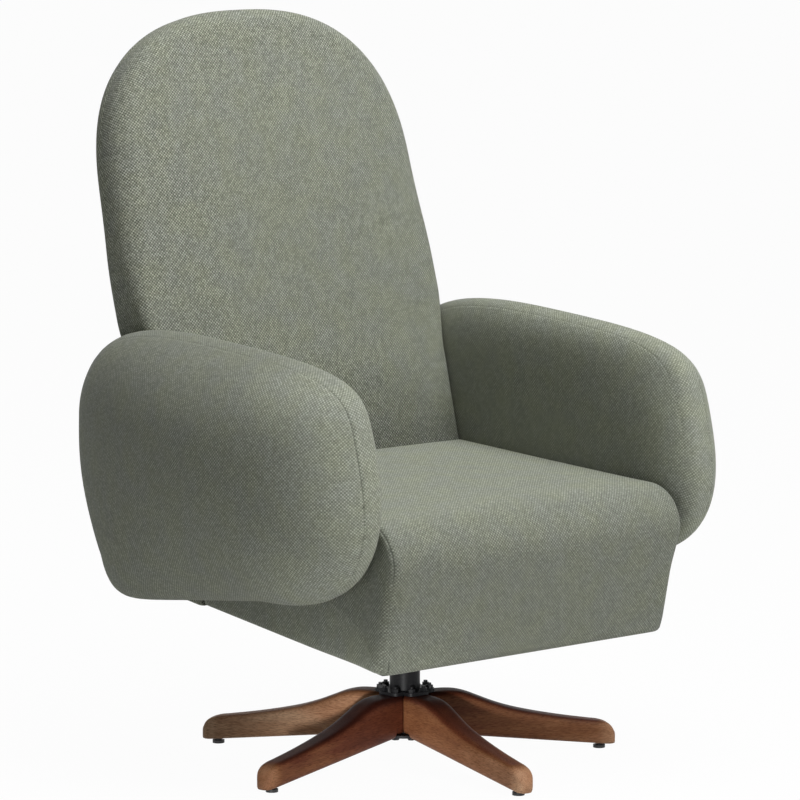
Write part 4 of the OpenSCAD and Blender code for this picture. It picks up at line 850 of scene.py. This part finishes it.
def rock_spring_pair(name, node):
    """The two coil springs of one end of the mechanism, as two closed wires.

    A wire's middle line climbs round a circle of the coil's radius, evenly between two
    short upright ends. A ring of points lies square to the line at each step."""
    low, high = (np.array(corner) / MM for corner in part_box(node))
    middle_y = (low[1] + high[1]) / 2
    beside = high[0] - SPRING_COIL_R - SPRING_WIRE_R
    turn = np.linspace(0, 2 * np.pi * SPRING_TURNS, 40 * SPRING_TURNS + 1)
    climb = np.linspace(low[2] + SPRING_LEAD, high[2] - SPRING_LEAD, len(turn))
    line = np.stack([SPRING_COIL_R * np.cos(turn), SPRING_COIL_R * np.sin(turn), climb], -1)
    line = np.concatenate([[[SPRING_COIL_R, 0, low[2]]], line, [[SPRING_COIL_R, 0, high[2]]]])
    along = np.gradient(line, axis=0)
    along[0] = along[-1] = [0, 0, 1]
    along /= np.linalg.norm(along, axis=1, keepdims=True)
    turn = np.concatenate([[0], turn, [0]])
    out = np.stack([np.cos(turn), np.sin(turn), 0 * turn], -1)
    up = np.cross(out, along)
    a = np.linspace(0, 2 * np.pi, 12, endpoint=False)[None, :, None]
    wire = line[:, None] + SPRING_WIRE_R * (np.cos(a) * out[:, None] + np.sin(a) * up[:, None])
    rows, cols = wire.shape[:2]
    sides = grid_quads(rows, cols)
    foot, top = np.arange(cols)[::-1], np.arange((rows - 1) * cols, rows * cols)
    points, faces = [], []
    for first, x in ((0, -beside), (rows * cols, beside)):
        points.append(wire.reshape(-1, 3) + [x, middle_y, 0])
        faces += (sides + first).tolist() + [(foot + first).tolist(), (top + first).tolist()]
    mesh = smooth_mesh(name, np.concatenate(points), faces)
    outward = bmesh.new()
    outward.from_mesh(mesh)
    bmesh.ops.recalc_face_normals(outward, faces=outward.faces)
    outward.to_mesh(mesh)
    outward.free()
    return in_scene(name, mesh), (low[2] + SPRING_LEAD / 2) * MM, (high[2] - SPRING_LEAD / 2) * MM


# Materials

def add(tree, kind, **settings):
    made = tree.nodes.new(kind)
    for name, value in settings.items():
        setattr(made, name, value)
    return made


def preset(node, **values):
    """Sets input sockets by name, with an underscore for each space."""
    for name, value in values.items():
        node.inputs[name.replace("_", " ")].default_value = value
    return node


def float_group(name, place, outputs):
    """A node group that takes a place and gives numbers, with its two end nodes."""
    group = bpy.data.node_groups.new(name, "ShaderNodeTree")
    group.interface.new_socket(name=place, in_out="INPUT", socket_type="NodeSocketVector")
    for output in outputs:
        group.interface.new_socket(name=output, in_out="OUTPUT", socket_type="NodeSocketFloat")
    return group, add(group, "NodeGroupInput"), add(group, "NodeGroupOutput")


def math_node(tree, operation, *values):
    made = add(tree, "ShaderNodeMath", operation=operation)
    for socket, value in zip(made.inputs, values):
        if isinstance(value, (int, float)):
            socket.default_value = value
        else:
            tree.links.new(value, socket)
    return made.outputs[0]


def noise(tree, vector, scale, detail=2.0, roughness=0.5):
    made = preset(add(tree, "ShaderNodeTexNoise"), Scale=scale, Detail=detail, Roughness=roughness)
    tree.links.new(vector, made.inputs["Vector"])
    return made.outputs["Fac"]


def stretched(tree, vector, scale, offset=(0, 0, 0)):
    made = preset(add(tree, "ShaderNodeMapping"), Scale=scale, Location=offset)
    tree.links.new(vector, made.inputs["Vector"])
    return made.outputs["Vector"]


def ramp(tree, value, stops):
    made = add(tree, "ShaderNodeValToRGB")
    elements = made.color_ramp.elements
    while len(elements) < len(stops):
        elements.new(0.5)
    for element, (at, colour) in zip(elements, stops):
        element.position = at
        element.color = (*colour, 1)
    tree.links.new(value, made.inputs["Fac"])
    return made.outputs["Color"]


def multiplied(tree, a, b):
    """The product of two colours."""
    made = add(tree, "ShaderNodeMix", data_type="RGBA", blend_type="MULTIPLY")
    made.inputs[0].default_value = 1.0
    tree.links.new(a, made.inputs[6])
    tree.links.new(b, made.inputs[7])
    return made.outputs[2]


def vector_node(tree, operation, a, scale=None):
    made = add(tree, "ShaderNodeVectorMath", operation=operation)
    tree.links.new(a, made.inputs[0])
    if scale is not None:
        tree.links.new(scale, made.inputs["Scale"])
    return made.outputs["Vector"]


def blended(tree, share, a, b):
    """a plus share times b, for numbers."""
    return math_node(tree, "MULTIPLY_ADD", b, share, a)


FABRIC_PITCH = 0.0025
SLUB_SHARE, OWN_SHARE, TURNED_SHARE = 0.28, 0.27, 0.90


def weave_group():
    """Plain weave in cloth coordinates: square floats of one pitch, each rounded like a
    pillow by two half sines and with a random tone of its own. Every second float runs
    the other way and is paler, and noise drawn out along it gives its yarn's slubs."""
    group, enter, leave = float_group("basket_weave", "Cloth", ("Height", "Fleck", "Pillow"))
    pitch = group.interface.new_socket(name="Pitch", in_out="INPUT", socket_type="NodeSocketFloat")
    pitch.default_value = FABRIC_PITCH
    cloth = enter.outputs["Cloth"]
    counted = vector_node(group, "SCALE", cloth,
                          math_node(group, "DIVIDE", 1.0, enter.outputs["Pitch"]))
    cell = vector_node(group, "FLOOR", counted)
    inside = add(group, "ShaderNodeSeparateXYZ")
    group.links.new(vector_node(group, "FRACTION", counted), inside.inputs[0])
    waves = [math_node(group, "SINE", math_node(group, "MULTIPLY", inside.outputs[i], math.pi))
             for i in range(2)]
    pillow = math_node(group, "POWER", math_node(group, "MULTIPLY", *waves), 0.5)
    own = add(group, "ShaderNodeTexWhiteNoise", noise_dimensions="2D")
    group.links.new(cell, own.inputs["Vector"])
    count = add(group, "ShaderNodeSeparateXYZ")
    group.links.new(cell, count.inputs[0])
    both = math_node(group, "ADD", count.outputs[0], count.outputs[1])
    turned = math_node(group, "FRACT", math_node(group, "MULTIPLY", both, 0.5))
    across = noise(group, stretched(group, cloth, (120, 620, 1)), 1.0, 1.0)
    down = noise(group, stretched(group, cloth, (620, 120, 1), (7, 3, 0)), 1.0, 1.0)
    streak = add(group, "ShaderNodeMix", data_type="FLOAT")
    group.links.new(math_node(group, "GREATER_THAN", turned, 0.25), streak.inputs[0])
    group.links.new(across, streak.inputs[2])
    group.links.new(down, streak.inputs[3])
    slub = math_node(group, "MULTIPLY", streak.outputs[0], SLUB_SHARE)
    fleck = blended(group, TURNED_SHARE, blended(group, OWN_SHARE, slub, own.outputs["Value"]), turned)
    height = blended(group, 0.5, pillow, streak.outputs[0])
    for value, name in ((height, "Height"), (fleck, "Fleck"), (pillow, "Pillow")):
        group.links.new(value, leave.inputs[name])
    return group


def grain_group():
    """Wood grain along the first coordinate: slow bands across, fine pores drawn long."""
    group, enter, leave = float_group("wood_grain", "Place", ("Band", "Pore", "Cloud"))
    for name, scale, detail, roughness in (("Band", (5, 55, 55), 4.0, 0.6),
                                           ("Pore", (95, 1250, 1250), 2.0, 0.6),
                                           ("Cloud", (14, 22, 22), 2.0, 0.5)):
        value = noise(group, stretched(group, enter.outputs["Place"], scale), 1.0, detail, roughness)
        group.links.new(value, leave.inputs[name])
    return group


WEAVE = weave_group()
GRAIN = grain_group()
RELIEF = 0.0004


def new_material(name, roughness, metallic=0.0):
    made = bpy.data.materials.new(name)
    made.use_nodes = True
    shader = made.node_tree.nodes["Principled BSDF"]
    return made, made.node_tree, preset(shader, Roughness=roughness, Metallic=metallic)


def bump_into(tree, shader, height, strength, distance):
    made = preset(add(tree, "ShaderNodeBump"), Strength=strength, Distance=distance)
    tree.links.new(height, made.inputs["Height"])
    tree.links.new(made.outputs["Normal"], shader.inputs["Normal"])


def roughness_from(tree, shader, value, low, high):
    """Roughness that follows a number: low where it is 0 and high where it is 1."""
    made = preset(add(tree, "ShaderNodeMapRange"), To_Min=low, To_Max=high)
    tree.links.new(value, made.inputs["Value"])
    tree.links.new(made.outputs[0], shader.inputs["Roughness"])


def placed_group(tree, group, vector, socket):
    made = add(tree, "ShaderNodeGroup", node_tree=group)
    tree.links.new(vector, made.inputs[socket])
    return made


def object_place(tree):
    return add(tree, "ShaderNodeTexCoord").outputs["Object"]


def sage_fabric(name, contrast):
    """Two-tone sage cloth: dark ground yarns, pale slubs and the dark gaps between the
    floats in the colour, the same weave as relief, slow patches of cooler and warmer
    dye, and a faint sheen of loose fibres. contrast is how far the yarns differ."""
    made, tree, shader = new_material(name, 0.9)
    cloth = add(tree, "ShaderNodeUVMap", uv_map="cloth").outputs["UV"]
    weave = placed_group(tree, WEAVE, cloth, "Cloth")
    fleck = math_node(tree, "MULTIPLY_ADD", weave.outputs["Fleck"], contrast, 0.53 * (1 - contrast))
    yarn = ramp(tree, fleck, [
        (0.14, (0.100, 0.107, 0.082)), (0.38, (0.190, 0.203, 0.160)),
        (0.62, (0.285, 0.303, 0.247)), (0.86, (0.480, 0.505, 0.425))])
    shade = math_node(tree, "MULTIPLY_ADD", weave.outputs["Pillow"], 0.42 * contrast,
                      0.97 - 0.27 * contrast)
    # Painted light and shade, with dark seam lines, from the pieces' point values
    painted_light_and_seams = add(tree, "ShaderNodeAttribute", attribute_name="painted_light_and_seams").outputs["Fac"]
    shade = math_node(tree, "MULTIPLY", shade, math_node(tree, "ADD", painted_light_and_seams, 1.0))
    grey = add(tree, "ShaderNodeCombineColor")
    for i in range(3):
        tree.links.new(shade, grey.inputs[i])
    colour = multiplied(tree, yarn, grey.outputs[0])
    patch = noise(tree, object_place(tree), 24.0, 2.0)
    tint = ramp(tree, patch, [(0.35, (0.99, 0.99, 1.02)), (0.65, (1.02, 1.02, 0.965))])
    tree.links.new(multiplied(tree, colour, tint), shader.inputs["Base Color"])
    preset(shader, Sheen_Weight=0.10, Sheen_Roughness=0.5, Specular_IOR_Level=0.2)
    bump_into(tree, shader, weave.outputs["Height"], 0.25, RELIEF)
    return made


def walnut_stain():
    """Stained walnut: the leg's tone, slow bands and long pores pick a colour between
    red-brown stain and pale bare wood. Pores are rougher and lie a little deeper."""
    made, tree, shader = new_material("walnut_stain", 0.5)
    preset(shader, Specular_IOR_Level=0.16)
    place = add(tree, "ShaderNodeAttribute", attribute_name="grain").outputs["Vector"]
    grain = placed_group(tree, GRAIN, place, "Place")
    tone = add(tree, "ShaderNodeAttribute", attribute_name="tone").outputs["Fac"]
    banded = blended(tree, 0.42, math_node(tree, "SUBTRACT", tone, 0.21), grain.outputs["Band"])
    cloudy = blended(tree, 0.24, math_node(tree, "SUBTRACT", banded, 0.12), grain.outputs["Cloud"])
    stain = ramp(tree, cloudy, [
        (0.05, (0.040, 0.009, 0.005)), (0.28, (0.110, 0.031, 0.014)),
        (0.48, (0.220, 0.092, 0.040)), (0.72, (0.420, 0.220, 0.120)),
        (0.95, (0.620, 0.400, 0.250))])
    pore = ramp(tree, grain.outputs["Pore"], [
        (0.38, (0.62, 0.56, 0.52)), (0.50, (1.0, 1.0, 1.0)), (0.70, (1.18, 1.16, 1.13))])
    tree.links.new(multiplied(tree, stain, pore), shader.inputs["Base Color"])
    roughness_from(tree, shader, grain.outputs["Pore"], 0.66, 0.42)
    bump_into(tree, shader, grain.outputs["Pore"], 0.25, RELIEF)
    return made


def beech_wood():
    made, tree, shader = new_material("planed_beech", 0.6)
    grain = placed_group(tree, GRAIN, object_place(tree), "Place")
    tone = ramp(tree, grain.outputs["Band"], [
        (0.3, (0.47, 0.31, 0.17)), (0.7, (0.62, 0.45, 0.27))])
    pore = ramp(tree, grain.outputs["Pore"], [(0.35, (0.82, 0.78, 0.72)), (0.55, (1, 1, 1))])
    tree.links.new(multiplied(tree, tone, pore), shader.inputs["Base Color"])
    bump_into(tree, shader, grain.outputs["Pore"], 0.2, 0.0003)
    return made


def speckled(name, dark, light, scale, roughness, metallic=0.0, bump=0.2, depth=0.0002,
             low=0.4, high=0.6, specular=0.5):
    """A plain finish with fine speckle: noise between two near colours, and the same
    noise as a shallow bump and a little roughness change."""
    made, tree, shader = new_material(name, roughness, metallic)
    preset(shader, Specular_IOR_Level=specular)
    grain = noise(tree, object_place(tree), scale, 3.0, 0.6)
    tree.links.new(ramp(tree, grain, [(low, dark), (high, light)]), shader.inputs["Base Color"])
    roughness_from(tree, shader, grain, roughness - 0.08, roughness + 0.08)
    bump_into(tree, shader, grain, bump, depth)
    return made


def woven_cloth(name, dark, light, pitch):
    """Plain woven goods on object coordinates: the same weave group at another pitch."""
    made, tree, shader = new_material(name, 0.9)
    weave = preset(placed_group(tree, WEAVE, object_place(tree), "Cloth"), Pitch=pitch)
    tree.links.new(ramp(tree, weave.outputs["Height"], [(0.2, dark), (0.9, light)]),
                   shader.inputs["Base Color"])
    bump_into(tree, shader, weave.outputs["Height"], 0.4, RELIEF)
    return made


def brushed_steel():
    """Bright zinc plating: a faint spangle under fine scratches drawn along one way."""
    made, tree, shader = new_material("zinc_plated_steel", 0.35, 1.0)
    place = object_place(tree)
    scratch = noise(tree, stretched(tree, place, (90, 90, 1500)), 1.0, 2.0)
    spangle = noise(tree, place, 120.0, 1.0)
    tone = ramp(tree, spangle, [(0.35, (0.50, 0.51, 0.52)), (0.65, (0.68, 0.69, 0.70))])
    tree.links.new(tone, shader.inputs["Base Color"])
    roughness_from(tree, shader, scratch, 0.26, 0.48)
    bump_into(tree, shader, scratch, 0.1, 0.0001)
    return made


FABRIC = sage_fabric("sage_basket_weave", 1.0)
TAUT_FABRIC = sage_fabric("sage_basket_weave_taut", 0.66)
FINISHES = {
    "walnut": walnut_stain(),
    "hub_black": speckled("black_powder_coat", (0.006, 0.006, 0.007), (0.016, 0.016, 0.017),
                          900.0, 0.42, 0.0, 0.3, 0.0002, specular=0.13),
    "steel": brushed_steel(),
    "glide_plastic": speckled("black_glide_plastic", (0.008, 0.008, 0.008), (0.020, 0.020, 0.020),
                              500.0, 0.5),
    "nylon": speckled("natural_nylon", (0.68, 0.67, 0.62), (0.80, 0.79, 0.74), 240.0, 0.45),
    "rubber_stop": speckled("black_rubber", (0.012, 0.012, 0.012), (0.032, 0.032, 0.031), 380.0, 0.8),
    "beech": beech_wood(),
    "felt": speckled("grey_felt", (0.10, 0.10, 0.105), (0.30, 0.30, 0.31), 620.0, 0.95, 0.0, 0.8,
                     0.0009, 0.3, 0.7),
    "webbing": woven_cloth("jute_webbing", (0.10, 0.085, 0.06), (0.32, 0.28, 0.20), 0.004),
    "cover_cloth": woven_cloth("black_cover_cloth", (0.006, 0.006, 0.006), (0.045, 0.045, 0.045),
                               0.0016),
    "fabric_sage": FABRIC,
}
slot_of = {part["node"]: part["material_slot"] for part in frame["record"]["subparts"]}
for name, node in nodes.items():
    node.data.materials.clear()
    node.data.materials.append(FINISHES[slot_of[name]])


def finish_piece(piece, finish, node):
    piece.data.materials.append(finish)
    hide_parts(node)


# Pieces in place
for number in range(5):
    leg = leg_piece(number)
    finish_piece(leg, FINISHES["walnut"], f"leg_{number + 1}")
    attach(leg, "base")

for piece, node in ((arm_pad("left_arm_upholstery", -1), "left_arm_pad"),
                    (arm_pad("right_arm_upholstery", 1), "right_arm_pad"),
                    (seat_pad(), "seat_cushion"), (back_pad(), "back_cushion"),
                    (back_closing_panel(), "back_panel")):
    cloth = FABRIC if node.startswith("back_") else TAUT_FABRIC
    finish_piece(piece, cloth, node)
    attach(piece, "rocker")

for end in ("front", "rear"):
    coils, foot_h, top_h = rock_spring_pair(f"{end}_coil_springs", f"{end}_rock_springs")
    finish_piece(coils, FINISHES["steel"], f"{end}_rock_springs")
    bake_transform(coils)

cover, cut, cut_area = dust_cover_piece()
finish_piece(cover, FINISHES["cover_cloth"], "dust_cover")
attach(cover, "rocker")


# Floor, light and camera

WORLD_LEVEL = 0.02
FLOOR_HALF = 40.0
FLOOR_GLOW = 0.97


def seen_rays(tree):
    """1 for what the camera sees, itself or in a gloss, and 0 for light that falls."""
    rays = add(tree, "ShaderNodeLightPath")
    return math_node(tree, "MAXIMUM", rays.outputs["Is Camera Ray"], rays.outputs["Is Glossy Ray"])


def white(tree, kind, strength):
    return preset(add(tree, kind), Color=(1, 1, 1, 1), Strength=strength)


def shown_through(tree, share, plain, shown, output):
    """The plain shader with this share of the shown one, into the tree's output."""
    mix = add(tree, "ShaderNodeMixShader")
    for source, socket in zip((share, plain.outputs[0], shown.outputs[0]), mix.inputs):
        tree.links.new(source, socket)
    tree.links.new(mix.outputs[0], output.inputs["Surface"])


def floor_and_world():
    """A white floor that shows as white to the camera and keeps a soft shadow, and a
    white surround that lights evenly at a lower level."""
    f = FLOOR_HALF
    mesh = bpy.data.meshes.new("studio_floor")
    mesh.from_pydata([(-f, -f, 0), (f, -f, 0), (f, f, 0), (-f, f, 0)], [], [(0, 1, 2, 3)])
    made, tree, shader = new_material("studio_white", 0.9)
    preset(shader, Base_Color=(0.8, 0.8, 0.8, 1))
    shown_through(tree, math_node(tree, "MULTIPLY", seen_rays(tree), FLOOR_GLOW), shader,
                  white(tree, "ShaderNodeEmission", 1.0), tree.nodes["Material Output"])
    mesh.materials.append(made)
    in_scene("studio_floor", mesh)
    world = bpy.data.worlds.new("studio")
    world.use_nodes = True
    bpy.context.scene.world = world
    tree = world.node_tree
    tree.nodes.clear()
    shown_through(tree, seen_rays(tree), white(tree, "ShaderNodeBackground", WORLD_LEVEL),
                  white(tree, "ShaderNodeBackground", 1.0), add(tree, "ShaderNodeOutputWorld"))


def soft_box(name, place, aim, size, watts, spread=180):
    """A square area lamp at a place, turned to face a point, with its beam's angle."""
    data = bpy.data.lights.new(name, "AREA")
    data.shape = "SQUARE"
    data.size = size
    data.energy = watts
    data.spread = math.radians(spread)
    lamp = in_scene(name, data)
    d = np.array(aim, float) - np.array(place, float)
    d /= np.linalg.norm(d)
    lamp.location = place
    lamp.rotation_euler = (math.acos(-d[2]), 0, math.atan2(d[0], -d[1]) + math.pi)


floor_and_world()
soft_box("top_box", (0.2, -0.3, 3.6), (0, 0, 0.6), 2.4, 78)
soft_box("front_high_box", (0.3, -3.4, 3.0), (0, 0, 0.6), 1.8, 86)
soft_box("left_low_box", (-3.4, -2.2, 0.8), (0, 0, 0.3), 1.4, 10)
soft_box("base_box", (-2.1, -1.7, 0.09), (0, 0, 0.03), 0.16, 0.24, 10)

CAMERA_AT = (-4.555, -5.240, 1.484)
CAMERA_DOWN, CAMERA_TURN = 7.795, -40.941
CAMERA_LENS = 215.536
data = bpy.data.cameras.new("camera")
data.sensor_width = 36.0
data.lens = CAMERA_LENS
camera = in_scene("camera", data)
camera.location = CAMERA_AT
camera.rotation_euler = (math.radians(90 - CAMERA_DOWN), 0, math.radians(CAMERA_TURN))
bpy.context.scene.camera = camera
bpy.context.scene.view_settings.view_transform = "Standard"
